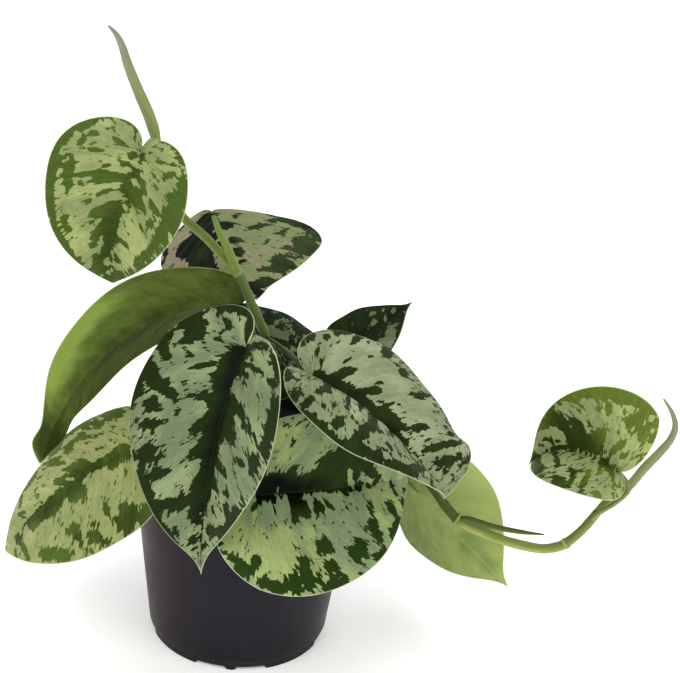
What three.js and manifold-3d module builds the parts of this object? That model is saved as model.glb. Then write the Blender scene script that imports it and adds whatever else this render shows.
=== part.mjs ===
import * as THREE from 'three';
import Module from 'manifold-3d';

// Satin pothos in a 12 cm nursery pot. Millimetres, +Z up.
// The origin is the centre of the pot's underside, on the ground.
// Every leaf is one waved blade fused with its own petiole (leaf stalk).

const wasm = await Module();
wasm.setup();

// ---- driving dimensions -------------------------------------------------

// Pot: a thin tapered wall, a collar round the top and a notched foot ring.
const POT_HEIGHT = 105;
const POT_FOOT_RADIUS = 44.8;
const POT_TOP_RADIUS = 57;
const POT_WALL = 1.4;
const RIM_RADIUS = 60;
const RIM_DEPTH = 12;
const RIM_LIP = 2.4;
const FOOT_HEIGHT = 5;
const FOOT_INSET = 0.7;
const FOOT_RING_WIDTH = 3.2;
const FLOOR_THICKNESS = 1.6;
const PAD_RADIUS = 15;
const NOTCH_PAIRS = 4;
const NOTCH_WIDTH = 15;
const NOTCH_APART = 20;
const NOTCH_HEIGHT = 1.8;
const DRAIN_HOLES = 8;
const DRAIN_RADIUS = 3.5;
const DRAIN_CIRCLE = 30;
const POT_KNEE = 9;
const POT_SEGMENTS = 48;

// Potting mix: fills the pot, with a plain hole for each stem that stands in it.
const SOIL_TOP = 92;
const SOIL_UNEVEN = 1.2;
const SOIL_CLEAR = 0.4;
const SOIL_SEGMENTS = 32;
const SOIL_RINGS = 4;
const HOLE_CLEAR = 0.4;

// Free space kept between neighbouring pieces.
const GAP = 0.3;

// Blades.
const BLADE_THICKNESS = 0.9;
const BLADE_ROWS = 16;
const BLADE_COLUMNS = 8;
const STALK_SIDES = 6;
const ROLL_SIDES = 10;
const VINE_SIDES = 8;

// Colours.
const COLOUR_POT = 0x26252a;
const COLOUR_SOIL = 0x3a2a20;
const COLOUR_VINE = 0x6f8a3c;
const COLOUR_LEAF_YOUNG = 0x8fa562;
const COLOUR_LEAF_MATURE = 0x5f7f58;
const COLOUR_LEAF_BACK = 0x7f9a4a;
const COLOUR_LEAF_ROLLED = 0x5f7c45;

// Vines: each knot is [x, y, z, radius]; nodes of the vine are the thicker knots.
const VINE_LEFT = [
  [8, 8, 81, 2.2],
  [8, 8, 91, 2.2],
  [8, 8, 97, 2.2],
  [8, 6.5, 112, 2.2],
  [7, 4, 135, 2.2],
  [6, 2, 161, 2.2],
  [3, 1, 170, 2.2],
  [-1, 0, 179, 2.2],
  [-5, 0, 188, 2.2],
  [-8, 0, 194.5, 2.4],
  [-9, 0, 196, 2.6],
  [-10.5, 0, 197.5, 2.2],
  [-16, 1, 203, 2.1],
  [-25, 2, 212, 2.1],
  [-36, 3, 221, 2.1],
  [-42, 5, 230, 2.1],
  [-45.5, 6, 239, 2.3],
  [-48, 7, 248, 2.1],
  [-50, 7, 256, 2],
];
const VINE_RIGHT = [
  [20, 4, 81, 2],
  [20, 4, 91, 2],
  [20.5, 4, 97, 2],
  [27, 4, 109, 2],
  [40, 4, 114, 2],
  [60, 4, 114, 2],
  [80, 4, 101.5, 2],
  [87, 1, 94.5, 2],
  [94, -3, 88, 2],
  [100, -7, 81.5, 2],
  [105, -9, 77, 2.2],
  [106.5, -9.5, 76, 2.5],
  [108, -10, 75, 2.1],
  [114, -10, 71.5, 2],
  [122, -10, 68.5, 2],
  [131, -11, 66, 2],
  [141, -11, 64, 2],
  [151, -12, 64, 2],
  [159, -12, 67, 2.2],
  [161, -12, 68.5, 2.5],
  [162.5, -12, 70, 2.1],
  [167, -12, 75.5, 2],
  [171, -12, 82, 2],
  [174, -12, 87.5, 2.1],
];

// Rolled young leaves, the dry sheath and the bud: knots as for the vines.
const SPIKE_TOP = [
  [-50.1, 7, 256.5, 2.3],
  [-51.5, 7, 262, 2.9],
  [-54, 7, 269, 2.8],
  [-59, 7, 280, 2.6],
  [-64, 7, 292, 2.2],
  [-67, 6, 301.5, 1.7],
  [-69.5, 5, 306.5, 1.2],
  [-72.5, 4, 310, 0.5],
];
const SPIKE_RIGHT = [
  [174.4, -11.6, 88.2, 1.8],
  [178, -9.5, 92, 2.1],
  [183, -8, 95, 2.2],
  [188, -8, 101, 2.2],
  [194.5, -8, 112.5, 2.3],
  [201, -8, 122.5, 2.1],
  [205, -8, 130, 1.8],
  [206, -8, 137, 1.5],
  [203.5, -8, 144, 1.1],
  [198.5, -8, 151, 0.5],
];
const SHEATH_LEFT = [
  [-9, 0, 196, 1.6],
  [-11.5, -3, 203, 2],
  [-14, -4.5, 210, 1.7],
  [-18, -5.5, 218, 1.4],
  [-21, -6, 226, 1],
];
const BUD_RIGHT = [
  [106.5, -9.5, 76, 1.4],
  [111, -12, 79, 1.8],
  [123, -13, 76, 1.7],
  [138, -13, 74, 1.3],
  [149, -13, 73.5, 0.5],
];

// Leaves. base: where stalk and blade meet. heading, pitch, roll: degrees; the heading
// turns from +X to +Y, the pitch lifts the midrib, the roll turns about the midrib.
// left and right are half widths and the two lobes reach back past the base.
// swells widen a margin: outline angle, side (1 left), reach in angle, millimetres;
// droop, sway and twist are the bend of the whole midrib; fold lifts both halves,
// cup eases that lift towards the margin, ear lifts the lobes. stalk: knots as above.
const LEAVES = {
  leaf_crown_left: {
    base: [-54, -17, 260.5], heading: -121, pitch: -54, roll: -8,
    length: 66, left: 36, right: 37, lobeLeft: 9, lobeRight: 13, taper: 0.7, tip: 1,
    fold: 19, cup: -1, droop: 48, sway: -11, hook: 6, twist: -17, ear: -3,
    wave: 0.8, waves: 2, phase: 0, colour: COLOUR_LEAF_YOUNG, from: 'vine_left',
    swells: [[2.3, -1, 0.4, 1.4], [1, 1, 0.5, 1]],
    stalk: [[-45.5, 6, 239, 1.5], [-47, 0, 252, 1.5], [-50, -8, 262, 1.4]],
  },
  leaf_back_upper: {
    base: [-31.3, 106.8, 182], heading: -79.4, pitch: -1, roll: 17.6,
    length: 85, left: 55, right: 35.6, lobeLeft: 6.4, lobeRight: 9.4, taper: 1, tip: 3.6,
    fold: -23.8, cup: -5, droop: 20.4, sway: 11, hook: 2.9, twist: 0, ear: 16,
    wave: 0.8, waves: 2, phase: 1, colour: COLOUR_LEAF_MATURE, from: 'soil',
    stalk: [[-16, 34, 81, 1.5], [-16, 34, 91, 1.5], [-16.5, 35, 97, 1.5], [-22, 58, 124, 1.5],
      [-29, 92, 152, 1.5], [-33, 109, 169, 1.5], [-32.5, 111, 177, 1.4]],
  },
  leaf_arching_left: {
    base: [-8, 19, 171.5], heading: 196, pitch: 5, roll: 48,
    length: 128, left: 33.8, right: 30, lobeLeft: 5, lobeRight: 10, taper: 0.32, tip: 15.5,
    fold: 13, cup: 10, droop: 75, sway: -20, hook: -11, twist: 46, ear: 0,
    wave: 0.8, waves: 2, phase: 2, colour: COLOUR_LEAF_BACK, from: 'vine_left',
    swells: [[2.96, 1, 0.09, 4.8], [2.35, 1, 0.3, 2], [2.77, -1, 0.19, 6.5]],
    stalk: [[1.5, 0.6, 173.5, 1.6], [-1, 10, 175, 1.6]],
  },
  leaf_low_left: {
    base: [-45, -34, 123], heading: 195, pitch: -28, roll: -23,
    length: 103, left: 39, right: 35, lobeLeft: 12, lobeRight: 9, taper: 0.6, tip: 1.5,
    fold: 0, cup: 25, droop: 46, sway: -9, hook: 0.5, twist: 3, ear: 0,
    wave: 0.8, waves: 2, phase: 3, colour: COLOUR_LEAF_YOUNG, from: 'soil',
    swells: [[2.2, 1, 0.7, 2.2]],
    stalk: [[-22, -14, 81, 1.5], [-22, -14, 91, 1.5], [-22, -14, 97, 1.5], [-26, -20, 118, 1.5],
      [-35, -29, 129, 1.5]],
  },
  leaf_front_centre: {
    base: [-0.2, -49.8, 183], heading: -113.1, pitch: -41.3, roll: 31.9,
    length: 113.5, left: 55.9, right: 50, lobeLeft: 2.3, lobeRight: 26.6, taper: 1.05, tip: 9,
    fold: 28.4, cup: 21.3, droop: 66.3, sway: -46.8, hook: 0, twist: -23.6, ear: -15.5,
    wave: 0.8, waves: 2, phase: 4, colour: COLOUR_LEAF_MATURE, from: 'vine_left',
    stalk: [[6.5, 3, 150, 1.7], [7, -12, 162, 1.7], [5, -30, 176, 1.7],
      [2, -43, 183, 1.6]],
  },
  leaf_front_right: {
    base: [29.8, -30.9, 160.3], heading: -24, pitch: -11, roll: 1.7,
    length: 85, left: 44.9, right: 46, lobeLeft: 17.9, lobeRight: 11.7, taper: 0.28, tip: 1,
    fold: 38, cup: 60, droop: 39, sway: -6.5, hook: 2.8, twist: -11, ear: 4,
    wave: 0.8, waves: 2, phase: 5, colour: COLOUR_LEAF_MATURE, from: 'vine_left',
    swells: [[2.68, 1, 0.28, 25]],
    stalk: [[5.5, 2, 162.5, 1.5], [12, -10, 165, 1.4], [21, -22, 164, 1.3]],
  },
  leaf_low_front: {
    base: [6.5, -62, 112.5], heading: 14, pitch: 0, roll: 67,
    length: 95, left: 41, right: 49, lobeLeft: 17, lobeRight: 23, taper: 0.7, tip: 3,
    fold: 14, cup: -15, droop: 48, sway: 1, hook: -2.5, twist: -6, ear: -12,
    wave: 0.8, waves: 2, phase: 6, colour: COLOUR_LEAF_MATURE, from: 'soil',
    stalk: [[-6, -30, 81, 1.6], [-6, -30, 91, 1.6], [-6, -30.5, 97, 1.6], [-7, -40, 112, 1.6],
      [-3, -52, 117, 1.6]],
  },
  leaf_low_right: {
    base: [82, 20, 79], heading: -25, pitch: -34, roll: -75,
    length: 73, left: 37, right: 35, lobeLeft: 6, lobeRight: 10, taper: 0.9, tip: 5,
    fold: 11, cup: -4, droop: 9, sway: -1, hook: -4.5, twist: -29, ear: 1,
    wave: 0.8, waves: 2, phase: 1, colour: COLOUR_LEAF_BACK, from: 'vine_right',
    swells: [[1.2, 1, 0.6, 1.6]],
    stalk: [[70, 4, 108.8, 1.3], [71, 14, 105, 1.4], [75, 22, 93, 1.4]],
  },
  leaf_back_right: {
    base: [44, 22, 148.5], heading: 22, pitch: 29, roll: 6,
    length: 43, left: 24, right: 24, lobeLeft: 8, lobeRight: 9, taper: 0.9, tip: 3.5,
    fold: 6, cup: 10, droop: 9, sway: 24, hook: 0.5, twist: -1, ear: 0,
    wave: 0.6, waves: 2, phase: 2, colour: COLOUR_LEAF_MATURE, from: 'soil',
    stalk: [[30, 20, 81, 1.3], [30, 20, 91, 1.3], [30, 20, 97, 1.3], [31, 19, 122, 1.3],
      [37, 18.5, 141, 1.2]],
  },
  leaf_back_middle: {
    base: [0.5, 28, 151], heading: 21, pitch: -23, roll: 29,
    length: 57, left: 22, right: 23, lobeLeft: 11, lobeRight: 10, taper: 0.8, tip: 3.5,
    fold: 3, cup: 18, droop: 23, sway: 24, hook: 2, twist: -3, ear: 0,
    wave: 0.6, waves: 2, phase: 3, colour: COLOUR_LEAF_MATURE, from: 'vine_left',
    swells: [[1.25, -1, 0.5, 11]],
    stalk: [[7, 4, 137, 1.4], [3, 14, 148, 1.4], [-2, 24, 155, 1.3]],
  },
  leaf_tip_right: {
    base: [182, -11, 111.5], heading: 169, pitch: 27, roll: -42,
    length: 51, left: 35, right: 40, lobeLeft: 7, lobeRight: 8, taper: 1, tip: 3,
    fold: 39, cup: -5, droop: 84, sway: 9, hook: 8, twist: -25, ear: -5,
    wave: 0.5, waves: 2, phase: 4, colour: COLOUR_LEAF_YOUNG, from: 'vine_right',
    stalk: [[171, -12, 82, 1.2], [175.5, -16, 91, 1.2], [182, -17.5, 98, 1.2],
      [187, -16.5, 105.5, 1.2]],
  },
};

// ---- small vector helpers -----------------------------------------------

const DEG = Math.PI / 180;
const vec = (x, y, z) => new THREE.Vector3(x, y, z);
const along = (p, d, s) => p.clone().addScaledVector(d, s);

// ---- closed meshes to and from the solid kernel ---------------------------

// A triangle list over shared points becomes one closed solid.
function toSolid(points, triangles) {
  const vertProperties = new Float32Array(points.flatMap((p) => [p.x, p.y, p.z]));
  const triVerts = new Uint32Array(triangles.flat());
  const mesh = new wasm.Mesh({ numProp: 3, vertProperties, triVerts });
  return new wasm.Manifold(mesh);
}

function toGeometry(solid) {
  const mesh = solid.getMesh();
  const geometry = new THREE.BufferGeometry();
  const step = mesh.numProp;
  const count = mesh.vertProperties.length / step;
  const positions = new Float32Array(count * 3);
  for (let i = 0; i < count; i += 1) {
    positions[i * 3] = mesh.vertProperties[i * step];
    positions[i * 3 + 1] = mesh.vertProperties[i * step + 1];
    positions[i * 3 + 2] = mesh.vertProperties[i * step + 2];
  }
  geometry.setAttribute('position', new THREE.BufferAttribute(positions, 3));
  geometry.setIndex(Array.from(mesh.triVerts));
  geometry.computeVertexNormals();
  return geometry;
}

// ---- stems ----------------------------------------------------------------

// Points and radii along a smooth curve through the knots.
function smoothKnots(knots, perSpan) {
  const curve = new THREE.CatmullRomCurve3(
    knots.map((k) => vec(k[0], k[1], k[2])),
    false,
    'centripetal',
  );
  const spans = knots.length - 1;
  const stations = [];
  for (let i = 0; i <= spans * perSpan; i += 1) {
    const u = i / (spans * perSpan);
    const span = Math.min(Math.floor(u * spans), spans - 1);
    const f = u * spans - span;
    const radius = knots[span][3] * (1 - f) + knots[span + 1][3] * f;
    stations.push({ at: curve.getPoint(u), radius });
  }
  return stations;
}

// The same stem grown on all sides, to cut its neighbours clear of it.
function grownStations(stations, grow) {
  const last = stations.length - 1;
  const grown = stations.map((s) => ({ at: s.at.clone(), radius: s.radius + grow }));
  const foot = stations[0].at.clone().sub(stations[1].at).normalize();
  const head = stations[last].at.clone().sub(stations[last - 1].at).normalize();
  grown[0].at.addScaledVector(foot, grow);
  grown[last].at.addScaledVector(head, grow);
  return grown;
}

// A closed tube over the stations. shape(angle) scales the radius round the section.
function tubeSolid(stations, sides, shape) {
  const points = [];
  const triangles = [];
  let side = null;
  const last = stations.length - 1;
  stations.forEach((station, i) => {
    const before = stations[Math.max(i - 1, 0)].at;
    const after = stations[Math.min(i + 1, last)].at;
    const forward = after.clone().sub(before).normalize();
    if (side === null) {
      side = Math.abs(forward.z) > 0.9 ? vec(1, 0, 0) : vec(0, 0, 1);
    }
    side.addScaledVector(forward, -side.dot(forward)).normalize();
    const other = vec(0, 0, 0).crossVectors(forward, side);
    for (let j = 0; j < sides; j += 1) {
      const angle = (j / sides) * 2 * Math.PI;
      const r = station.radius * shape(angle);
      const p = along(station.at, side, r * Math.cos(angle));
      points.push(p.addScaledVector(other, r * Math.sin(angle)));
    }
  });
  for (let i = 0; i < last; i += 1) {
    for (let j = 0; j < sides; j += 1) {
      const k = (j + 1) % sides;
      const a = i * sides;
      const b = (i + 1) * sides;
      triangles.push([a + j, a + k, b + k]);
      triangles.push([a + j, b + k, b + j]);
    }
  }
  const start = points.length;
  points.push(stations[0].at.clone());
  const end = points.length;
  points.push(stations[last].at.clone());
  for (let j = 0; j < sides; j += 1) {
    const k = (j + 1) % sides;
    triangles.push([start, k, j]);
    triangles.push([end, last * sides + j, last * sides + k]);
  }
  return toSolid(points, triangles);
}

const round = () => 1;

// A rolled blade: the radius falls once round, so one edge lies over the other.
const rolled = (angle) => 1.06 - 0.16 * (angle / (2 * Math.PI));

// A sheath or bud is a little flatter one way.
const flattened = (angle) => 1 - 0.15 * Math.cos(2 * angle);

// ---- leaves -----------------------------------------------------------------

// Directions of a leaf at its base: along the midrib, to its left, out of its face.
function leafFrame(leaf) {
  const h = leaf.heading * DEG;
  const p = leaf.pitch * DEG;
  const r = leaf.roll * DEG;
  const tip = vec(Math.cos(p) * Math.cos(h), Math.cos(p) * Math.sin(h), Math.sin(p));
  const up = vec(-Math.sin(p) * Math.cos(h), -Math.sin(p) * Math.sin(h), Math.cos(p));
  const out = vec(0, 0, 0).crossVectors(up, tip);
  const left = out.clone().multiplyScalar(Math.cos(r)).addScaledVector(up, Math.sin(r));
  const face = up.clone().multiplyScalar(Math.cos(r)).addScaledVector(out, -Math.sin(r));
  return { tip, left, face };
}

// Width of the blade along the outline angle, before scaling to the half width.
function outlineWidth(angle, taper) {
  const swell = Math.sin(angle) * Math.cos(angle / 2) ** taper;
  return swell * (1 - Math.exp(-((angle / 0.25) ** 2)));
}

function widestOutline(taper) {
  let widest = 0;
  for (let i = 1; i < 400; i += 1) {
    widest = Math.max(widest, outlineWidth((i / 400) * Math.PI, taper));
  }
  return widest;
}

// What the leaf's own swells add to the width of one half at an outline angle.
function swell(leaf, left, angle) {
  return (leaf.swells ?? []).reduce((sum, [at, side, reach, more]) => {
    const share = side > 0 === left ? Math.exp(-(((angle - at) / reach) ** 2)) : 0;
    return sum + more * share;
  }, 0);
}

// A point of the blade's middle sheet and its outward normal. angle runs 0 to pi from
// the base to the tip round the margin, across runs -1 to 1 from margin to margin.
function bladePoint(leaf, frame, widest, angle, across) {
  const away = Math.abs(across);
  const left = across >= 0;
  const half = left ? leaf.left : leaf.right;
  const lobe = left ? leaf.lobeLeft : leaf.lobeRight;
  const progress = (1 - Math.cos(angle)) / 2;
  const heart = lobe * Math.exp(-((angle / 0.2) ** 2)) - lobe;
  const drip = leaf.tip * Math.exp(-(((Math.PI - angle) / 0.3) ** 2));
  const marginX = (leaf.length - leaf.tip + lobe) * progress + heart + drip;
  const ribX = leaf.length * progress ** 2.5;
  const x = ribX + (marginX - ribX) * away ** 1.4;
  const y = ((half * outlineWidth(angle, leaf.taper)) / widest + swell(leaf, left, angle)) * away;
  const s = Math.max(x, 0);
  const behind = Math.min(x, 0);
  const bend = (leaf.droop * DEG) / leaf.length;
  const turned = bend * s;
  const forward = Math.abs(bend) < 1e-6 ? s : Math.sin(turned) / bend;
  const drop = Math.abs(bend) < 1e-6 ? 0 : (1 - Math.cos(turned)) / bend;
  const ear = leaf.ear * DEG;
  const u = s / leaf.length;
  const aside = (leaf.sway * DEG * s * s) / (2 * leaf.length) + leaf.hook * u ** 5;
  const twist = leaf.twist * DEG * u;
  const lift = leaf.fold * DEG - (leaf.cup * DEG * y) / (2 * half);
  const ripple = Math.sin((2 * Math.PI * leaf.waves * x) / leaf.length + leaf.phase);
  const high = y * Math.sin(lift) + leaf.wave * (y / half) ** 2 * ripple;
  const wide = y * Math.cos(lift) * (left ? 1 : -1);
  const normal = frame.face.clone().multiplyScalar(Math.cos(turned));
  normal.addScaledVector(frame.tip, Math.sin(turned));
  const cross = frame.left.clone().multiplyScalar(Math.cos(twist));
  cross.addScaledVector(normal, Math.sin(twist));
  const outward = normal.clone().multiplyScalar(Math.cos(twist));
  outward.addScaledVector(frame.left, -Math.sin(twist));
  const p = vec(...leaf.base);
  p.addScaledVector(frame.tip, forward + behind * Math.cos(ear));
  p.addScaledVector(frame.face, -drop - behind * Math.sin(ear));
  p.addScaledVector(frame.left, aside);
  p.addScaledVector(cross, wide);
  p.addScaledVector(outward, high);
  const tilt = y > 1e-9 ? lift : 0;
  const n = outward.clone().multiplyScalar(Math.cos(tilt));
  n.addScaledVector(cross, (left ? -1 : 1) * Math.sin(tilt));
  return { p, n };
}

// The blade: a front and a back sheet split alike, closed round the margin.
function bladeSolid(leaf, frame) {
  const widest = widestOutline(leaf.taper);
  const points = [];
  const triangles = [];
  const half = BLADE_THICKNESS / 2;
  const put = (angle, across) => {
    const { p, n } = bladePoint(leaf, frame, widest, angle, across);
    points.push(along(p, n, half), along(p, n, -half));
    return points.length - 2;
  };
  const base = put(0, 0);
  const rows = [];
  for (let i = 1; i < BLADE_ROWS; i += 1) {
    const u = i / BLADE_ROWS;
    const angle = Math.PI * u * (0.7 + 0.3 * u);
    const row = [];
    for (let j = 0; j <= BLADE_COLUMNS; j += 1) {
      row.push(put(angle, (2 * j) / BLADE_COLUMNS - 1));
    }
    rows.push(row);
  }
  const tip = put(Math.PI, 0);
  // One triangle on the front sheet and its twin, wound the other way, on the back.
  const both = (a, b, c) => triangles.push([a, b, c], [a + 1, c + 1, b + 1]);
  const wall = (a, b) => triangles.push([a, a + 1, b + 1], [a, b + 1, b]);
  const first = rows[0];
  const final = rows[rows.length - 1];
  for (let j = 0; j < BLADE_COLUMNS; j += 1) {
    both(base, first[j], first[j + 1]);
    both(tip, final[j + 1], final[j]);
  }
  for (let i = 0; i < rows.length - 1; i += 1) {
    for (let j = 0; j < BLADE_COLUMNS; j += 1) {
      both(rows[i][j], rows[i + 1][j], rows[i + 1][j + 1]);
      both(rows[i][j], rows[i + 1][j + 1], rows[i][j + 1]);
    }
  }
  const rim = [base];
  rows.forEach((row) => rim.push(row[0]));
  rim.push(tip);
  rows.slice().reverse().forEach((row) => rim.push(row[BLADE_COLUMNS]));
  rim.forEach((a, i) => wall(a, rim[(i + 1) % rim.length]));
  return toSolid(points, triangles);
}

// The stalk runs from its vine or the soil to the base and on as a keel under the
// midrib, thinning out into the blade.
function stalkKnots(leaf, frame) {
  const knots = leaf.stalk.map((k) => k.slice());
  const r = knots[knots.length - 1][3];
  const keel = [[0, 0.95], [0.1, 0.8], [0.22, 0.65], [0.36, 0.5]];
  const widest = widestOutline(leaf.taper);
  keel.forEach(([part, scale]) => {
    const angle = Math.acos(1 - 2 * part ** 0.4);
    const { p, n } = bladePoint(leaf, frame, widest, angle, 0);
    const radius = r * scale;
    const q = along(p, n, -(BLADE_THICKNESS / 2 + radius * 0.25));
    knots.push([q.x, q.y, q.z, radius]);
  });
  return knots;
}

function leafSolid(leaf, vines) {
  const frame = leafFrame(leaf);
  const stations = smoothKnots(stalkKnots(leaf, frame), 2);
  const stalk = tubeSolid(stations, STALK_SIDES, round);
  const whole = bladeSolid(leaf, frame).add(stalk);
  return leaf.from === 'soil' ? whole : whole.subtract(vines[leaf.from]);
}

// ---- pot and soil -------------------------------------------------------------

const wallRadius = (z) => {
  return POT_FOOT_RADIUS + ((POT_TOP_RADIUS - POT_FOOT_RADIUS) * z) / POT_HEIGHT;
};

const innerRadius = (z) => wallRadius(z) - POT_WALL;

function latheSolid(profile, segments) {
  const geometry = new THREE.LatheGeometry(
    profile.map(([r, z]) => new THREE.Vector2(r, z)),
    segments,
  );
  geometry.rotateX(Math.PI / 2);
  const position = geometry.getAttribute('position');
  const index = geometry.getIndex();
  const mesh = new wasm.Mesh({
    numProp: 3,
    vertProperties: new Float32Array(position.array),
    triVerts: new Uint32Array(index.array),
  });
  mesh.merge();
  return new wasm.Manifold(mesh);
}

function potSolid() {
  const top = POT_HEIGHT;
  const rimLow = POT_HEIGHT - RIM_DEPTH;
  const footOut = POT_FOOT_RADIUS - FOOT_INSET;
  const plateLow = FOOT_HEIGHT - FLOOR_THICKNESS;
  const profile = [
    [0, 0],
    [PAD_RADIUS, 0],
    [PAD_RADIUS + 1, plateLow],
    [footOut - FOOT_RING_WIDTH, plateLow],
    [footOut - FOOT_RING_WIDTH + 0.4, 0],
    [footOut, 0],
    [footOut + 0.3, FOOT_HEIGHT - 0.4],
    [wallRadius(FOOT_HEIGHT), FOOT_HEIGHT],
    [wallRadius(rimLow), rimLow],
    [RIM_RADIUS - 0.6, rimLow + 0.2],
    [RIM_RADIUS, top - 0.9],
    [RIM_RADIUS - 0.8, top],
    [RIM_RADIUS - RIM_LIP, top - 0.5],
    [RIM_RADIUS - RIM_LIP - 0.4, rimLow + 1.5],
    [innerRadius(rimLow), rimLow - 0.5],
    [innerRadius(POT_KNEE), POT_KNEE],
    [innerRadius(POT_KNEE) - 3, FOOT_HEIGHT],
    [0, FOOT_HEIGHT],
  ];
  let pot = latheSolid(profile, POT_SEGMENTS);
  for (let i = 0; i < NOTCH_PAIRS; i += 1) {
    const angle = (i / NOTCH_PAIRS) * 360;
    [-1, 1].forEach((end) => {
      const tool = wasm.Manifold.cube([12, NOTCH_WIDTH, 2 * NOTCH_HEIGHT], true);
      const aside = (end * NOTCH_APART) / 2;
      pot = pot.subtract(tool.translate([footOut - 1, aside, 0]).rotate([0, 0, angle]));
    });
  }
  for (let i = 0; i < DRAIN_HOLES; i += 1) {
    const angle = (i / DRAIN_HOLES) * 2 * Math.PI;
    const tool = wasm.Manifold.cylinder(12, DRAIN_RADIUS, DRAIN_RADIUS, 12, true);
    const x = DRAIN_CIRCLE * Math.cos(angle);
    const y = DRAIN_CIRCLE * Math.sin(angle);
    pot = pot.subtract(tool.translate([x, y, FOOT_HEIGHT]));
  }
  return pot;
}

// Height of the potting mix, gently uneven and level at the wall.
function soilHeight(x, y) {
  const bumps = Math.sin(x * 0.16 + 1.1) * Math.cos(y * 0.13 - 0.4) + Math.sin(x * 0.07 - y * 0.21);
  const edge = Math.min(1, Math.hypot(x, y) / 54);
  return SOIL_TOP + SOIL_UNEVEN * 0.5 * bumps * (1 - edge ** 4);
}

function soilSolid(standing) {
  const points = [vec(0, 0, FOOT_HEIGHT + GAP), vec(0, 0, soilHeight(0, 0))];
  const triangles = [];
  const topRadius = innerRadius(SOIL_TOP) - SOIL_CLEAR;
  const kneeRadius = innerRadius(POT_KNEE) - SOIL_CLEAR;
  const loop = (radius, height) => {
    const start = points.length;
    for (let j = 0; j < SOIL_SEGMENTS; j += 1) {
      const angle = (j / SOIL_SEGMENTS) * 2 * Math.PI;
      const x = radius * Math.cos(angle);
      const y = radius * Math.sin(angle);
      points.push(vec(x, y, height === null ? soilHeight(x, y) : height));
    }
    return start;
  };
  const loops = [loop(kneeRadius - 3, FOOT_HEIGHT + GAP), loop(kneeRadius, POT_KNEE + GAP)];
  for (let i = SOIL_RINGS; i > 0; i -= 1) {
    loops.push(loop((topRadius * i) / SOIL_RINGS, null));
  }
  for (let j = 0; j < SOIL_SEGMENTS; j += 1) {
    const k = (j + 1) % SOIL_SEGMENTS;
    triangles.push([0, loops[0] + k, loops[0] + j]);
    for (let i = 0; i < loops.length - 1; i += 1) {
      const a = loops[i];
      const b = loops[i + 1];
      triangles.push([a + j, a + k, b + k]);
      triangles.push([a + j, b + k, b + j]);
    }
    const inner = loops[loops.length - 1];
    triangles.push([1, inner + j, inner + k]);
  }
  let soil = toSolid(points, triangles);
  standing.forEach(([x, y, z, r]) => {
    const deep = z - GAP;
    const tool = wasm.Manifold.cylinder(40, r + HOLE_CLEAR, r + HOLE_CLEAR, 12, false);
    soil = soil.subtract(tool.translate([x, y, deep]));
  });
  return soil;
}

// ---- the plant ------------------------------------------------------------------

const plant = new THREE.Group();
plant.name = 'satin_pothos';

function addPiece(name, solid, colour, roughness) {
  const material = new THREE.MeshStandardMaterial({ color: colour, roughness, metalness: 0 });
  const mesh = new THREE.Mesh(toGeometry(solid), material);
  mesh.name = name;
  plant.add(mesh);
}

const vineKnots = { vine_left: VINE_LEFT, vine_right: VINE_RIGHT };
const vineStations = {};
const clearOfVine = {};
Object.entries(vineKnots).forEach(([name, knots]) => {
  vineStations[name] = smoothKnots(knots, 2);
  clearOfVine[name] = tubeSolid(grownStations(vineStations[name], GAP * 1.1), VINE_SIDES, round);
});

const standing = [VINE_LEFT[0], VINE_RIGHT[0]];
Object.values(LEAVES).forEach((leaf) => {
  if (leaf.from === 'soil') {
    standing.push(leaf.stalk[0]);
  }
});

addPiece('pot', potSolid(), COLOUR_POT, 0.55);
addPiece('soil', soilSolid(standing), COLOUR_SOIL, 0.95);
Object.entries(vineStations).forEach(([name, stations]) => {
  addPiece(name, tubeSolid(stations, VINE_SIDES, round), COLOUR_VINE, 0.5);
});
Object.entries(LEAVES).forEach(([name, leaf]) => {
  addPiece(name, leafSolid(leaf, clearOfVine), leaf.colour, 0.55);
});
[
  ['new_leaf_top', SPIKE_TOP, ROLL_SIDES, rolled, COLOUR_LEAF_ROLLED, 'vine_left'],
  ['new_leaf_right', SPIKE_RIGHT, ROLL_SIDES, rolled, COLOUR_LEAF_ROLLED, 'vine_right'],
  ['sheath_left', SHEATH_LEFT, STALK_SIDES, flattened, COLOUR_VINE, 'vine_left'],
  ['bud_right', BUD_RIGHT, STALK_SIDES, flattened, COLOUR_LEAF_ROLLED, 'vine_right'],
].forEach(([name, knots, sides, shape, colour, vine]) => {
  const shoot = tubeSolid(smoothKnots(knots, 2), sides, shape);
  addPiece(name, shoot.subtract(clearOfVine[vine]), colour, 0.5);
});

export default plant;
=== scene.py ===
"""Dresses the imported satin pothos: its leaves, vines, shoots, potting mix and pot.

Every shape is worked out in millimetres as whole numpy arrays and goes into its mesh in
metres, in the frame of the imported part, so each piece sits at the origin, unturned.
"""

import logging
import math
from dataclasses import dataclass, field
from enum import Enum

import bpy
import numpy as np
from mathutils import Matrix, Vector


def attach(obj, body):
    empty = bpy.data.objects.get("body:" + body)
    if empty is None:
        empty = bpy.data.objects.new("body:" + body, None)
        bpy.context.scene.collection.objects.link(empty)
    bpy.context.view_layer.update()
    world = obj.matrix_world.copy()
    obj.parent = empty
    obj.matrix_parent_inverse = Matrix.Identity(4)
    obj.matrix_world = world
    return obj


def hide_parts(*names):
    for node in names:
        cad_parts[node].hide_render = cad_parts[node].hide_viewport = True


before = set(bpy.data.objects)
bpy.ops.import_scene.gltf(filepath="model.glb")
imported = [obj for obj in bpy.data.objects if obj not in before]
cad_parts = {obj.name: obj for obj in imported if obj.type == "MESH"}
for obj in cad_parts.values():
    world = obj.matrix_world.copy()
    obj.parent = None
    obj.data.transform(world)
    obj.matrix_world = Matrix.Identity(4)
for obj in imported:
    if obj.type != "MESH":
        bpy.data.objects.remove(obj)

LOG = logging.getLogger("satin_pothos")
MM = 0.001
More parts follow.
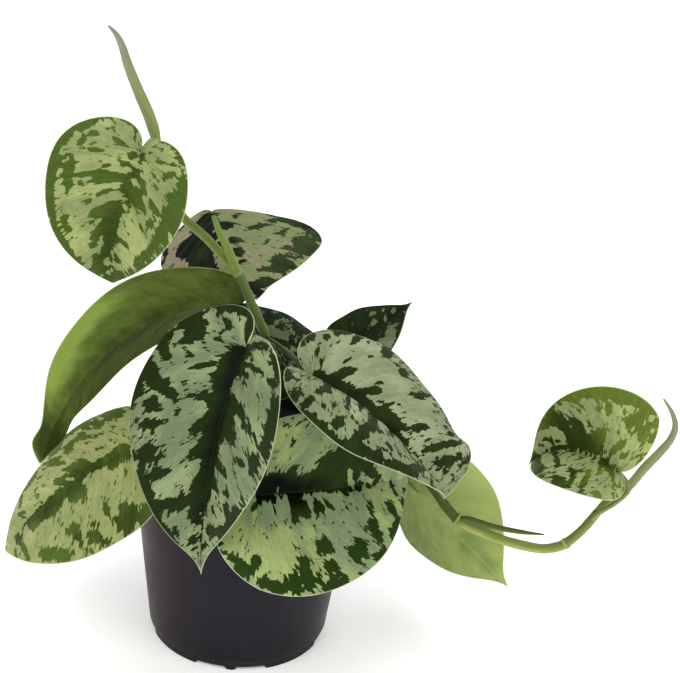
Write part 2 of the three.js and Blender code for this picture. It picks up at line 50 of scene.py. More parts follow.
DEG = math.pi / 180

Array = np.ndarray
Socket = bpy.types.NodeSocket
Place = tuple[float, float, float]
Knot = tuple[float, float, float, float]
Swell = tuple[float, float, float, float]
Patch = tuple[float, float, float, float, float, float]
Colour = tuple[float, float, float, float]


class Slot(Enum):
    """Material slots of the record that the pieces take their finish from."""

    POT = "pot_plastic"
    SOIL = "potting_soil"
    VINE = "vine_green"
    SHOOT = "shoot_green"
    DARK = "leaf_dark"
    LIGHT = "leaf_light"
    SILVER = "leaf_silver"
    UNDERSIDE = "leaf_underside"


def paint(code: str) -> Colour:
    """Turns a display colour into the linear one that a shader takes.

    Each channel c of 0 to 1 becomes ((c + 0.055) / 1.055) to the power 2.4, or c / 12.92
    where it is at most 0.04045.

    Args:
        code: Six hexadecimal digits, red first.

    Returns:
        Red, green, blue and an opacity of 1.
    """
    parts = [int(code[i : i + 2], 16) / 255 for i in (0, 2, 4)]
    linear = [c / 12.92 if c <= 0.04045 else ((c + 0.055) / 1.055) ** 2.4 for c in parts]
    return (linear[0], linear[1], linear[2], 1.0)


# ---- shapes as arrays --------------------------------------------------------------


def circle(count: int) -> Array:
    """Angles of so many even places round a circle, from 0."""
    return np.arange(count) / count * 2 * math.pi


def soft_noise(x: Array, y: Array, seed: float) -> Array:
    """Smooth repeatable noise over two coordinates.

    A random height stands on each point of a square lattice, the broken part of a large
    sine of its place. In between, the four corners are mixed by 3f^2 - 2f^3.

    Args:
        x: First coordinate, one lattice step to the unit.
        y: Second coordinate, of the same shape.
        seed: Picks one of many patterns.

    Returns:
        Heights from -1 to 1.
    """
    x, y = np.broadcast_arrays(np.asarray(x, float), np.asarray(y, float))
    column, row = np.floor(x), np.floor(y)

    def corner(right: int, up: int) -> Array:
        """Height on one corner of each cell."""
        place = (column + right) * 127.1 + (row + up) * 311.7 + seed * 74.7
        return 2 * np.modf(np.abs(np.sin(place) * 43758.5453))[0] - 1

    fx, fy = x - column, y - row
    fx, fy = fx * fx * (3 - 2 * fx), fy * fy * (3 - 2 * fy)
    low = corner(0, 0) * (1 - fx) + corner(1, 0) * fx
    high = corner(0, 1) * (1 - fx) + corner(1, 1) * fx
    return low * (1 - fy) + high * fy


def step(value: Array, low: float, high: float) -> Array:
    """Rises smoothly from 0 at low to 1 at high: 3f^2 - 2f^3 of the share f between them."""
    share = np.clip((value - low) / (high - low), 0, 1)
    return share * share * (3 - 2 * share)


def store(mesh: bpy.types.Mesh, label: str, values: Array) -> None:
    """Stores a number or a vector for every vertex under a name.

    Args:
        mesh: The mesh.
        label: The name.
        values: One number for each vertex, or one row of three.
    """
    kind, key = ("FLOAT", "value") if values.ndim == 1 else ("FLOAT_VECTOR", "vector")
    layer = mesh.attributes.new(label, kind, "POINT")
    layer.data.foreach_set(key, values.astype(np.float32).ravel())


def show(name: str, mesh: bpy.types.Mesh) -> bpy.types.Object:
    """Puts a mesh into the scene as an object at the origin.

    Args:
        name: Name of the object.
        mesh: Its mesh.

    Returns:
        The object.
    """
    piece = bpy.data.objects.new(name, mesh)
    bpy.context.scene.collection.objects.link(piece)
    return piece


def closed_surface(
    name: str,
    rows: Array,
    first: Array,
    last: Array,
    facts: dict[str, Array] | None = None,
    under_from: int | None = None,
) -> bpy.types.Object:
    """Makes one closed mesh from loops of points that end in a pole at both ends.

    Neighbouring loops are joined by quads, and the outer loops by triangles to their
    pole. If the volume under the faces, a sixth of the sum of a . (b x c), is negative,
    the faces are turned over, so they always point outwards. The UV map runs round the
    loop in U and from pole to pole in V.

    Args:
        name: Name of the new object and its mesh.
        rows: Points of the loops in millimetres, loops x points x 3.
        first: The pole before the first loop.
        last: The pole after the last loop.
        facts: Named values for every vertex: the loops' in order, then the two poles'.
        under_from: Loop place from which the faces take the second material.

    Returns:
        The object, linked to the scene and smooth shaded.
    """
    count, around = rows.shape[:2]
    points = np.concatenate([rows.reshape(-1, 3), first[None], last[None]]) * MM
    i, j = (n.ravel() for n in np.meshgrid(np.arange(count - 1), np.arange(around), indexing="ij"))
    here, on = i * around + j, i * around + (j + 1) % around
    ring = np.arange(around)
    after, none = (ring + 1) % around, 0 * ring
    start, top = count * around, (count - 1) * around
    blocks = [
        ((here, on, on + around, here + around), (j, j + 1, j + 1, j), (i + 1, i + 1, i + 2, i + 2)),
        ((none + start, after, ring), (ring + 0.5, ring + 1, ring), (none, none + 1, none + 1)),
        (
            (none + start + 1, top + ring, top + after),
            (ring + 0.5, ring, ring + 1),
            (none + count + 1, none + count, none + count),
        ),
    ]
    quads, low, high = (np.stack(block[0], -1) for block in blocks)
    triangles = np.concatenate([quads[:, :3], quads[:, [0, 2, 3]], low, high])
    a, b, c = (points[triangles[:, n]] for n in range(3))
    way = -1 if np.einsum("ij,ij->i", a, np.cross(b, c)).sum() < 0 else 1
    corners, u, v = (
        np.concatenate([np.stack(block[n], -1)[:, ::way].ravel() for block in blocks]) for n in range(3)
    )
    places = np.stack([u / around, v / (count + 1)], -1)
    sizes = np.repeat([4, 3], [len(quads), 2 * around]).astype(np.int32)
    starts = np.concatenate([[0], np.cumsum(sizes)[:-1]]).astype(np.int32)

    mesh = bpy.data.meshes.new(name)
    mesh.vertices.add(len(points))
    mesh.vertices.foreach_set("co", points.astype(np.float32).ravel())
    mesh.loops.add(len(corners))
    mesh.loops.foreach_set("vertex_index", corners.astype(np.int32))
    mesh.polygons.add(len(sizes))
    mesh.polygons.foreach_set("loop_start", starts)
    mesh.polygons.foreach_set("loop_total", sizes)
    mesh.polygons.foreach_set("use_smooth", np.ones(len(sizes), bool))
    if under_from is not None:
        side = np.concatenate([j, ring, ring]) >= under_from
        mesh.polygons.foreach_set("material_index", side.astype(np.int32))
    mesh.update(calc_edges=True)
    layer = mesh.uv_layers.new(name="surface")
    layer.data.foreach_set("uv", places.astype(np.float32).ravel())
    for label, values in (facts or {}).items():
        store(mesh, label, values)
    mesh.validate()
    return show(name, mesh)


def smooth_path(knots: list[Knot], per_span: int) -> tuple[Array, Array]:
    """Points and radii of a smooth line through the knots.

    Between two knots the line is the cubic that a centripetal Catmull-Rom curve gives:
    the time between knots is the square root of their distance, and the slopes at both
    ends come from the knots on either side. The radius runs straight between the knots.

    Args:
        knots: X, Y, Z and radius of each knot.
        per_span: Points on the line from each knot to the next.

    Returns:
        The points, count x 3, and the radius at each.
    """
    table = np.array(knots, float)
    p = table[:, :3]
    ends = np.concatenate([[2 * p[0] - p[1]], p, [2 * p[-1] - p[-2]]])
    gaps = np.linalg.norm(np.diff(ends, axis=0), axis=1) ** 0.5
    spans = len(p) - 1
    place = np.arange(spans * per_span + 1) / per_span
    span = np.minimum(place.astype(int), spans - 1)
    f = (place - span)[:, None]
    p0, p1, p2, p3 = (ends[span + n] for n in range(4))
    g0, g1, g2 = (gaps[span + n][:, None] for n in range(3))
    slope1 = ((p1 - p0) / g0 - (p2 - p0) / (g0 + g1) + (p2 - p1) / g1) * g1
    slope2 = ((p2 - p1) / g1 - (p3 - p1) / (g1 + g2) + (p3 - p2) / g2) * g1
    bend = -3 * p1 + 3 * p2 - 2 * slope1 - slope2
    curl = 2 * p1 - 2 * p2 + slope1 + slope2
    points = p1 + slope1 * f + bend * f**2 + curl * f**3
    radii = table[span, 3] * (1 - f[:, 0]) + table[span + 1, 3] * f[:, 0]
    return points, radii


def carried_rings(points: Array, reach: Array, turn: Array) -> Array:
    """Carries a section along a path.

    The section's first axis is the world axis that the path follows least, made square
    to the path, and its second axis is the path's direction crossed with the first. A
    point stands at reach times cos(turn) on the first and sin(turn) on the second.

    Args:
        points: The path, count x 3.
        reach: Distance from the path, count x around.
        turn: Angle round the path, count x around or just around.

    Returns:
        The loops, count x around x 3.
    """
    forward = np.gradient(points, axis=0)
    forward /= np.linalg.norm(forward, axis=1, keepdims=True)
    axis = np.zeros(3)
    axis[np.abs(forward).max(axis=0).argmin()] = 1
    side = axis - forward * (forward @ axis)[:, None]
    side /= np.linalg.norm(side, axis=1, keepdims=True)
    other = np.cross(forward, side)
    turn = np.broadcast_to(turn, reach.shape)
    across = side[:, None] * (reach * np.cos(turn))[..., None]
    return points[:, None] + across + other[:, None] * (reach * np.sin(turn))[..., None]


# ---- finishes ----------------------------------------------------------------------


class Recipe:
    """A procedural material under construction, with the few sums its finishes need."""

    def __init__(self, name: str) -> None:
        """Starts an empty material with one Principled shader.

        Args:
            name: Name of the new material.
        """
        self.material = bpy.data.materials.new(name)
        self.material.use_nodes = True
        self.tree = self.material.node_tree
        self.tree.nodes.clear()
        self.shader = self.node("BsdfPrincipled")
        self.node("OutputMaterial", self.shader.outputs["BSDF"])

    def plug(self, socket: Socket, value: object) -> None:
        """Feeds a socket.

        Args:
            socket: The socket that is fed.
            value: Another node's output, or a plain value.
        """
        if isinstance(value, Socket):
            self.tree.links.new(value, socket)
        else:
            socket.default_value = value

    def node(self, kind: str, *values: object, **named: object) -> bpy.types.Node:
        """Adds a node.

        Args:
            kind: Its type, without the prefix that all shader nodes share.
            *values: What its inputs take, in their order.
            **named: What other inputs take, with a capital and an underscore for a
                space, and the node's own settings, without a capital.

        Returns:
            The node.
        """
        node = self.tree.nodes.new(f"ShaderNode{kind}")
        for name, value in named.items():
            if name[0].islower():
                setattr(node, name, value)
        for socket, value in zip(node.inputs, values):
            self.plug(socket, value)
        for name, value in named.items():
            if name[0].isupper():
                self.plug(node.inputs[name.replace("_", " ")], value)
        return node

    def set(self, **inputs: object) -> None:
        """Sets inputs of the shader; an underscore in a name stands for a space."""
        for name, value in inputs.items():
            self.plug(self.shader.inputs[name.replace("_", " ")], value)

    def fact(self, name: str) -> Socket:
        """A number stored on the mesh under this name."""
        return self.node("Attribute", attribute_name=name).outputs["Fac"]

    def place(self, name: str) -> Socket:
        """A vector stored on the mesh under this name."""
        return self.node("Attribute", attribute_name=name).outputs["Vector"]

    def object_place(self) -> Socket:
        """The point's own coordinates, in metres."""
        return self.node("TexCoord").outputs["Object"]

    def part(self, vector: Socket, axis: str) -> Socket:
        """One coordinate of a vector."""
        return self.node("SeparateXYZ", vector).outputs[axis]

    def upward(self) -> Socket:
        """How far the surface faces up: the upright part of its outward direction."""
        return self.part(self.node("NewGeometry").outputs["Normal"], "Z")

    def scaled(self, vector: Socket, sizes: Place) -> Socket:
        """Divides each coordinate by the size of one step of a pattern along it."""
        return self.node("VectorMath", vector, sizes, operation="DIVIDE").outputs[0]

    def moved(self, vector: Socket, by: float) -> Socket:
        """Adds the same number to each coordinate, for another part of a pattern."""
        return self.node("VectorMath", vector, (by, by, by)).outputs[0]

    def noise(self, vector: Socket, sizes: Place, detail: float = 2, rough: float = 0.5) -> Socket:
        """Noise about 0, mostly within -0.25 and 0.25.

        Args:
            vector: Where it is read.
            sizes: Length of one step of it along each coordinate.
            detail: How many finer layers are added.
            rough: Strength of each finer layer against the last.

        Returns:
            The noise less its mean.
        """
        at = self.scaled(vector, sizes)
        node = self.node("TexNoise", Vector=at, Scale=1, Detail=detail, Roughness=rough)
        return self.sum("SUBTRACT", node.outputs["Fac"], 0.5)

    def cells(self, vector: Socket, sizes: Place) -> Socket:
        """Distance to the nearest of many scattered points, one for each cell of these sizes."""
        return self.node("TexVoronoi", Vector=self.scaled(vector, sizes), Scale=1).outputs["Distance"]

    def sum(self, kind: str, *values: object) -> Socket:
        """One arithmetic step, such as ADD or MULTIPLY."""
        return self.node("Math", *values, operation=kind).outputs[0]

    def total(self, *terms: tuple[object, float]) -> Socket:
        """Adds up several values.

        Args:
            *terms: Each value and its weight.

        Returns:
            The sum of the values, each times its weight.
        """
        result: object = 0.0
        for value, weight in terms:
            result = self.sum("MULTIPLY_ADD", value, weight, result)
        return result

    def rise(self, value: object, low: float, high: float, foot: float = 0, top: float = 1) -> Socket:
        """Rises smoothly from foot at low to top at high."""
        ends = (low, high, foot, top)
        return self.node("MapRange", value, *ends, interpolation_type="SMOOTHSTEP").outputs["Result"]

    def mix(self, share: object, none: object, all_: object) -> Socket:
        """Mixes two colours. The node's inputs 6 and 7 and its output 2 are those for colours.

        Args:
            share: How much of the second colour is taken, from 0 to 1.
            none: The colour at a share of 0.
            all_: The colour at a share of 1.

        Returns:
            The mixed colour.
        """
        node = self.node("Mix", share, data_type="RGBA")
        self.plug(node.inputs[6], none)
        self.plug(node.inputs[7], all_)
        return node.outputs[2]

    def brighten(self, colour: object, factor: object) -> Socket:
        """Multiplies a colour by a number."""
        plain = colour[:3] if isinstance(colour, tuple) else colour
        return self.node("VectorMath", plain, Scale=factor, operation="SCALE").outputs[0]

    def relief(self, height: object, depth_mm: float, strength: float = 1) -> None:
        """Lets the shader see a fine relief.

        Args:
            height: Height of the relief, from about -1 to 1.
            depth_mm: What one unit of it stands for.
            strength: Share of it that is kept.
        """
        node = self.node("Bump", Distance=depth_mm * MM, Strength=strength, Height=height)
        self.set(Normal=node.outputs["Normal"])


@dataclass(frozen=True)
class LeafFinish:
    """Colours of one leaf and how its silver is broken up.

    broad, ragged, specks and islands are the weights of the noises that cut the silver,
    shine is the roughness of plain green, gloss the underside's reflection, drift its
    change from green to green, and steer how far the stored tone lightens the green.
    """

    deep: str = "1b2a1c"
    green: str = "36502a"
    silver: str = "93a37c"
    warm: str = "a5a781"
    line: str = "b9c29a"
    rib: str = "4a6134"
    under: str = "7f9657"
    under_dark: str = "51692f"
    rib_line: float = 0.08
    broad: float = 1.4
    ragged: float = 1.05
    specks: float = 0.38
    islands: float = 0.45
    shine: float = 0.42
    drift: float = 0.7
    steer: float = 0.8
    gloss: float = 0.13

    def upper(self, name: str) -> bpy.types.Material:
        """Satin upper side: silver fields with ragged ends on green.

        The silver's bias is stored on the mesh. Noise drawn out along the veins is added
        to it, broad, then ragged, then in teeth, and what is above zero is silver. Small
        cells cut dark specks out of it and set silver islands on the green. The stored
        tone makes the silver warmer and the green lighter. Fine lines and pleats run
        along the veins. The margin is a pale line and the midrib a thin lighter one.

        Args:
            name: Name of the new material.

        Returns:
            The material.
        """
        r = Recipe(name)
        vein = r.place("vein")
        edge, rib = r.fact("edge"), r.fact("rib")
        broad = r.noise(vein, (3.6, 6.5, 1), 1)
        ragged = r.noise(vein, (1.3, 3.2, 1), 1)
        teeth = r.noise(vein, (0.5, 2.2, 1), 1)
        speck = r.rise(r.cells(vein, (4.0, 7.5, 1)), 0.1, 0.25, -1, 0)
        island = r.rise(r.cells(r.moved(vein, 3.7), (5.5, 11, 1)), 0.12, 0.3, 1, 0)
        amount = r.total(
            (r.fact("silver"), 1), (broad, self.broad), (ragged, self.ragged), (teeth, 0.5),
            (speck, self.specks), (island, self.islands),
        )
        share = r.rise(amount, -0.035, 0.035)
        lines = r.noise(vein, (0.28, 9, 1), 1)
        pleats = r.noise(vein, (2.2, 30, 1), 1)
        grain = r.noise(vein, (0.35, 0.5, 1), 1)
        drift = r.noise(vein, (13, 22, 1), 1)
        warmth = r.total((drift, 1), (r.fact("tone"), 0.5), (-0.25, 1))
        silver = r.mix(r.rise(warmth, -0.12, 0.16), paint(self.silver), paint(self.warm))
        cloud = r.noise(vein, (2.2, 3, 1), 2)
        # painted sheen: the silver's brightness follows lines, pleats, grain, drift and clouds
        sheen = ((lines, 0.35), (pleats, 0.35), (grain, 0.35), (drift, 0.3), (cloud, 0.45))
        silver = r.brighten(silver, r.total((1.0, 1.0), *sheen))
        away = r.rise(rib, 1, 15)
        shade = r.total((away, 0.75), (drift, 1.4), (ragged, 0.5), (0.1, 1.0), (r.fact("tone"), self.steer))
        green = r.mix(r.rise(shade, 0, 1), paint(self.deep), paint(self.green))
        # the green is lightened and darkened along lines, pleats and grain: partly its own streaks, partly
        # painted shading of the pleats
        green = r.brighten(green, r.total((1.0, 1.0), (lines, 0.7), (pleats, 0.5), (grain, 0.5)))
        colour = r.mix(share, green, silver)
        colour = r.mix(r.rise(rib, 0.2, 0.6, 0.1, 0), colour, paint(self.rib))
        colour = r.mix(r.rise(edge, 0.15, 0.45, 0.9, 0), colour, paint(self.line))
        rough = r.total((share, 0.12), (grain, 0.15), (self.shine, 1.0))
        height = r.total((lines, 0.9), (pleats, 1.6), (grain, 0.5), (share, 0.15))
        r.relief(height, 0.1, 0.8)
        r.set(Base_Color=colour, Roughness=rough, Specular_IOR_Level=r.total((share, 0.09), (0.035, 1.0)))
        return r.material

    def lower(self, name: str) -> bpy.types.Material:
        """Plain underside: two greens by the stored tone, drifting and faintly blotched.

        Faint veins run through it, and the midrib and the margin are lighter lines.

        Args:
            name: Name of the new material.

        Returns:
            The material.
        """
        r = Recipe(name)
        vein = r.place("vein")
        edge = r.fact("edge")
        drift = r.noise(vein, (9, 14, 1), 2)
        lines = r.noise(vein, (1.2, 16, 1), 1)
        blotch = r.noise(vein, (3.4, 5, 1), 2)
        grain = r.noise(vein, (0.4, 0.5, 1), 1)
        tone = r.total((r.fact("tone"), 1), (drift, self.drift), (blotch, 0.2), (lines, 0.04))
        colour = r.mix(r.rise(tone, 0, 1), paint(self.under_dark), paint(self.under))
        colour = r.brighten(colour, r.total((1.0, 1.0), (blotch, 0.2), (lines, 0.06), (grain, 0.2)))
        colour = r.mix(r.rise(r.fact("rib"), 0.2, 0.7, self.rib_line, 0), colour, paint(self.line))
        colour = r.mix(r.rise(edge, 0.15, 0.45, 0.85, 0), colour, paint(self.line))
        r.relief(r.total((lines, 0.35), (blotch, 0.8), (grain, 0.5)), 0.1, 0.7)
        r.set(Base_Color=colour, Roughness=r.total((grain, 0.2), (0.5, 1.0)), Specular_IOR_Level=self.gloss)
        return r.material


@dataclass(frozen=True)
class StemFinish:
    """Colours of a stem: what faces up, what faces down, where its tone is 0, rings, scars."""

    top: str = "647a3a"
    side: str = "93a352"
    young_and_shade: str = "7d9a4c"
    ring: str = "c3c48c"
    scar: str = "4c4a26"

    def made(self, name: str) -> bpy.types.Material:
        """Smooth stem with fine lines along it.

        The stored tone runs from 0, the young colour, which on the vines is painted shade,
        to 1, the stem's own. Its top and its side differ, and the stored ring is 1 on a
        node and the scar 1 on a scar.

        Args:
            name: Name of the new material.

        Returns:
            The material.
        """
        r = Recipe(name)
        run = r.place("run")
        lines = r.noise(run, (0.35, 9, 1), 2)
        drift = r.noise(run, (3, 12, 1), 1)
        grain = r.noise(run, (0.3, 0.5, 1), 1)
        facing = r.rise(r.total((r.upward(), 1.0), (drift, 1.2)), -0.7, 0.8)
        colour = r.mix(facing, paint(self.side), paint(self.top))
        # tone 0 takes the young colour, which on the vines is painted shade
        colour = r.mix(r.fact("tone"), paint(self.young_and_shade), colour)
        colour = r.brighten(colour, r.total((1.0, 1.0), (lines, 0.7), (grain, 0.3), (drift, 0.4)))
        ring = r.fact("ring")
        colour = r.mix(r.rise(ring, 0.35, 0.8, 0, 0.85), colour, paint(self.ring))
        colour = r.mix(r.rise(r.fact("scar"), 0.4, 0.8, 0, 0.8), colour, paint(self.scar))
        r.relief(r.total((lines, 1), (grain, 0.4)), 0.12, 0.8)
        r.set(Base_Color=colour, Roughness=r.total((grain, 0.2), (0.4, 1.0)), Specular_IOR_Level=0.25)
        return r.material


@dataclass(frozen=True)
class PlasticFinish:
    """Injection-moulded charcoal plastic with painted warm light at the left and painted cool light at the
    right.
    """

    # The first colour is the charcoal under painted warm light, for the left, and the second the charcoal
    # under painted cool light, for the right; the two glosses are painted reflections, warm and cool.
    body: str = "2b1b1a"
    painted_cool_light: str = "222126"
    worn: str = "37353a"
    painted_warm_reflection: str = "ffc4bb"
    painted_cool_reflection: str = "f0eeff"

    def made(self, name: str) -> bpy.types.Material:
        """Dull plastic: a fine moulded grain, long faint marks and pale scuffed edges.

        Base colour and reflection tint go from painted warm light to painted cool light
        along X, from 60 to 10 mm left of the axis; the lowest 45 mm darken towards the foot.

        Args:
            name: Name of the new material.

        Returns:
            The material.
        """
        r = Recipe(name)
        spot = r.object_place()
        grain = r.noise(spot, (0.0006, 0.0006, 0.0006), 2)
        cloud = r.noise(spot, (0.03, 0.03, 0.012), 3)
        marks = r.noise(spot, (0.004, 0.004, 0.05), 2)
        worn = r.fact("wear")
        scuff = r.rise(r.total((worn, 1), (grain, 1.2), (cloud, 1)), 0.7, 1.2, 0, 0.5)
        # share of painted cool light: the right side takes the cool colour, the left the warm one
        painted_cool_light = r.rise(r.total((r.part(spot, "X"), 1), (cloud, 0.02)), -0.06, -0.01)
        plain = r.mix(painted_cool_light, paint(self.body), paint(self.painted_cool_light))
        colour = r.mix(scuff, plain, paint(self.worn))
        # darker towards the foot over the lowest 45 mm
        darker_to_foot = r.rise(r.part(spot, "Z"), 0, 0.045, -0.35, 0)
        light = r.total((1.0, 1.0), (cloud, 0.5), (marks, 0.3), (grain, 0.3), (darker_to_foot, 1))
        colour = r.brighten(colour, light)
        r.relief(r.total((grain, 0.8), (marks, 0.4)), 0.08, 0.5)
        rough = r.total((0.4, 1.0), (cloud, 0.2), (grain, 0.12), (scuff, 0.2))
        # painted reflection: reflections are tinted warm at the left and cool at the right
        tint = r.mix(painted_cool_light, paint(self.painted_warm_reflection), paint(self.painted_cool_reflection))
        r.set(Base_Color=colour, Roughness=rough, Specular_IOR_Level=0.1, Specular_Tint=tint)
        return r.material


@dataclass(frozen=True)
class SoilFinish:
    """Damp peat mix: dark crumbs, paler fibre and bark."""

    wet: str = "1d140e"
    peat: str = "3a2a1e"
    bark: str = "6b4f38"

    def made(self, name: str) -> bpy.types.Material:
        """Crumbly mix: the stored tone picks dark peat or paler bark for each crumb.

        Args:
            name: Name of the new material.

        Returns:
            The material.
        """
        r = Recipe(name)
        spot = r.object_place()
        fine = r.noise(spot, (0.0007, 0.0007, 0.0007), 3, 0.6)
        lump = r.noise(spot, (0.004, 0.004, 0.004), 2)
        dry = r.rise(r.total((lump, 1.5), (fine, 1.2), (0.4, 1)), 0, 1)
        colour = r.mix(dry, paint(self.wet), paint(self.peat))
        chip = r.rise(r.total((r.fact("tone"), 1), (fine, 0.6)), 0.5, 1)
        colour = r.mix(chip, colour, paint(self.bark))
        r.relief(r.total((fine, 1), (lump, 0.5)), 0.6, 0.8)
        r.set(Base_Color=colour, Roughness=r.total((0.88, 1.0), (fine, 0.2)), Specular_IOR_Level=0.25)
        return r.material


@dataclass(frozen=True)
class FloorFinish:
    """Matt white studio sweep."""

    white: str = "fbfbfa"

    def made(self, name: str) -> bpy.types.Material:
        """Matt white with the faintest mottling.

        Args:
            name: Name of the new material.

        Returns:
            The material.
        """
        r = Recipe(name)
        cloud = r.noise(r.object_place(), (0.3, 0.3, 0.3), 2)
        r.set(Base_Color=r.brighten(paint(self.white), r.total((1.0, 1.0), (cloud, 0.01))))
        r.set(Roughness=0.9, Specular_IOR_Level=0.2)
        r.set(Emission_Color=paint(self.white), Emission_Strength=0.25)
        return r.material


# ---- leaves ------------------------------------------------------------------------


@dataclass
class Leaf:
    """One open leaf: a thin waved blade and the stalk that carries it.

    Lengths are in millimetres and angles in degrees, as in the part's own source. A
    place on the blade is given by an outline angle, 0 at the base and pi at the tip
    round the margin, and by across, -1 at the right margin and 1 at the left one. A
    patch is (outline angle, across, reach in angle, reach in across, lean, gain). Among
    the marks a positive gain makes silver and a negative one dark. Among the tones it
    makes an upper side's silver warmer and its green lighter, or less of both, and an
    underside a lighter green. A swell is (outline angle, side, reach in angle, more).
    keel is the share of a full keel that the blade carries under its midrib.
    """

    name: str
    base: Place
    heading: float
    pitch: float
    roll: float
    length: float
    left: float
    right: float
    lobe_left: float
    lobe_right: float
    taper: float
    tip: float
    fold: float
    cup: float
    droop: float
    sway: float
    hook: float
    twist: float
    ear: float
    phase: float
    stalk: list[Knot]
    slot: Slot
    finish: LeafFinish
    stem: StemFinish
    wave: float = 0.8
    waves: float = 2
    swells: list[Swell] = field(default_factory=list)
    silver: float = 0.36
    rib_dark: float = 0.9
    rib_wide: float = 0.07
    margin_dark: float = 0.3
    pale: float = 0.5
    quilt: float = 0.42
    keel: float = 1
    marks: list[Patch] = field(default_factory=list)
    tones: list[Patch] = field(default_factory=list)
    seed: int = 1
    thickness: float = 0.55
    lobe_reach: float = 0.2
    drip_reach: float = 0.3
    rib_power: float = 2.5
    margin_power: float = 1.4
    vein_spacing: float = 8.2
    groove_depth: float = 0.5
    groove_wide: float = 1.15
    keel_depth: float = 0.5
    keel_wide: float = 1.0
    margin_round: float = 0.5
    rows: int = 132
    columns: int = 80

    def directions(self) -> tuple[Array, Array, Array]:
        """Turns heading, pitch and roll into directions at the base.

        Returns:
            Unit directions along the midrib, to its left and out of the blade's face.
        """
        h, p, r = self.heading * DEG, self.pitch * DEG, self.roll * DEG
        tip = np.array([math.cos(p) * math.cos(h), math.cos(p) * math.sin(h), math.sin(p)])
        up = np.array([-math.sin(p) * math.cos(h), -math.sin(p) * math.sin(h), math.cos(p)])
        out = np.cross(up, tip)
        left = out * math.cos(r) + up * math.sin(r)
        face = up * math.cos(r) - out * math.sin(r)
        return tip, left, face

    def outline(self, angle: Array) -> Array:
        """Share of the full half width at each outline angle a.

        Args:
            angle: Outline angles.

        Returns:
            sin(a) cos(a/2)^taper (1 - exp(-(a/0.25)^2)), scaled to a largest value of 1.
        """

        def unscaled(a: Array) -> Array:
            """The same before it is scaled."""
            return np.sin(a) * np.abs(np.cos(a / 2)) ** self.taper * (1 - np.exp(-((a / 0.25) ** 2)))

        return unscaled(angle) / unscaled(np.arange(1, 400) / 400 * math.pi).max()

    def swelling(self, angle: Array, on_left: Array) -> Array:
        """Millimetres that the leaf's own swells add to each half's width.

        Args:
            angle: Outline angles a, as a column.
            on_left: Whether a place lies on the left half, as a row.

        Returns:
            The sum of more exp(-((a - angle) / reach)^2) over the swells of that side.
        """
        total = np.zeros_like(angle * on_left)
        for at, side, reach, more in self.swells:
            total = total + more * np.exp(-(((angle - at) / reach) ** 2)) * (on_left == (side > 0))
        return total

    def sheet(self, angle: Array, across: Array) -> tuple[Array, Array]:
        """The blade's middle sheet.

        Along the midrib lies x, and y is the distance from it. For an outline angle a,
        g = (1 - cos a) / 2 is the progress to the tip: the midrib point is length g^2.5,
        the margin reaches back by the lobe and on to the drip tip, and x runs between
        them as |across|^1.4 while y grows as |across|. The midrib then bends as an arc
        by droop and sideways by sway, the blade twists along it, and both halves lift
        by fold, less cup towards the margin. A ripple of the margin is added last.

        Args:
            angle: Outline angles, any number.
            across: Places across, any number.

        Returns:
            Points and unit normals, angles x across x 3 each.
        """
        tip, left, face = self.directions()
        a, t = angle[:, None], across[None, :]
        away = np.abs(t)
        on_left = t >= 0
        half = np.where(on_left, self.left, self.right)
        lobe = np.where(on_left, self.lobe_left, self.lobe_right)
        progress = (1 - np.cos(a)) / 2
        heart = lobe * np.exp(-((a / self.lobe_reach) ** 2)) - lobe
        drip = self.tip * np.exp(-(((math.pi - a) / self.drip_reach) ** 2))
        margin_x = (self.length - self.tip + lobe) * progress + heart + drip
        rib_x = self.length * progress**self.rib_power
        x = rib_x + (margin_x - rib_x) * away**self.margin_power
        y = (half * self.outline(a) + self.swelling(a, on_left)) * away
        s, behind = np.maximum(x, 0), np.minimum(x, 0)
        bend = self.droop * DEG / self.length
        turned = bend * s
        forward = s if abs(bend) < 1e-6 else np.sin(turned) / bend
        drop = 0 * s if abs(bend) < 1e-6 else (1 - np.cos(turned)) / bend
        ear, u = self.ear * DEG, s / self.length
        aside = self.sway * DEG * s * s / (2 * self.length) + self.hook * u**5
        twist = self.twist * DEG * u
        lift = self.fold * DEG - self.cup * DEG * y / (2 * half)
        ripple = np.sin(2 * math.pi * self.waves * x / self.length + self.phase)
        high = y * np.sin(lift) + self.wave * (y / half) ** 2 * ripple
        sign = np.where(on_left, 1.0, -1.0)
        wide = y * np.cos(lift) * sign
        e = (..., None)
        normal = face * np.cos(turned)[e] + tip * np.sin(turned)[e]
        cross = left * np.cos(twist)[e] + normal * np.sin(twist)[e]
        outward = normal * np.cos(twist)[e] - left * np.sin(twist)[e]
        points = np.array(self.base) + tip * (forward + behind * math.cos(ear))[e]
        points = points - face * (drop + behind * math.sin(ear))[e] + left * aside[e]
        points = points + cross * wide[e] + outward * high[e]
        tilt = np.where(y > 1e-9, lift, 0)
        normals = outward * np.cos(tilt)[e] - cross * (sign * np.sin(tilt))[e]
        return points, normals

    def spread(self, patches: list[Patch], angle: Array, across: Array) -> Array:
        """Adds up soft patches: each is its gain times exp(-d^3), d the leaned elliptic distance.

        Args:
            patches: The patches.
            angle: Outline angles.
            across: Places across.

        Returns:
            Their sum, angles x across.
        """
        total = np.zeros((len(angle), len(across)))
        for at, side, tall, wide, lean, gain in patches:
            t = across[None, :] - side
            a = angle[:, None] - at - lean * t
            total += gain * np.exp(-(((a / tall) ** 2 + (t / wide) ** 2) ** 1.5))
        return total

    def grid(self) -> tuple[Array, Array]:
        """Places of the blade's points, closer together at the base, midrib and margin.

        Returns:
            Outline angles pi u (0.7 + 0.3 u) of even shares u, and places across, which are
            0.28 of an even share s and 0.72 of it eased to (1 - cos(pi |s|)) / 2.
        """
        u = np.arange(1, self.rows) / self.rows
        share = np.linspace(-1, 1, self.columns + 1)
        eased = (1 - np.cos(math.pi * np.abs(share))) / 2
        return math.pi * u * (0.7 + 0.3 * u), np.sign(share) * (0.72 * eased + 0.28 * np.abs(share))

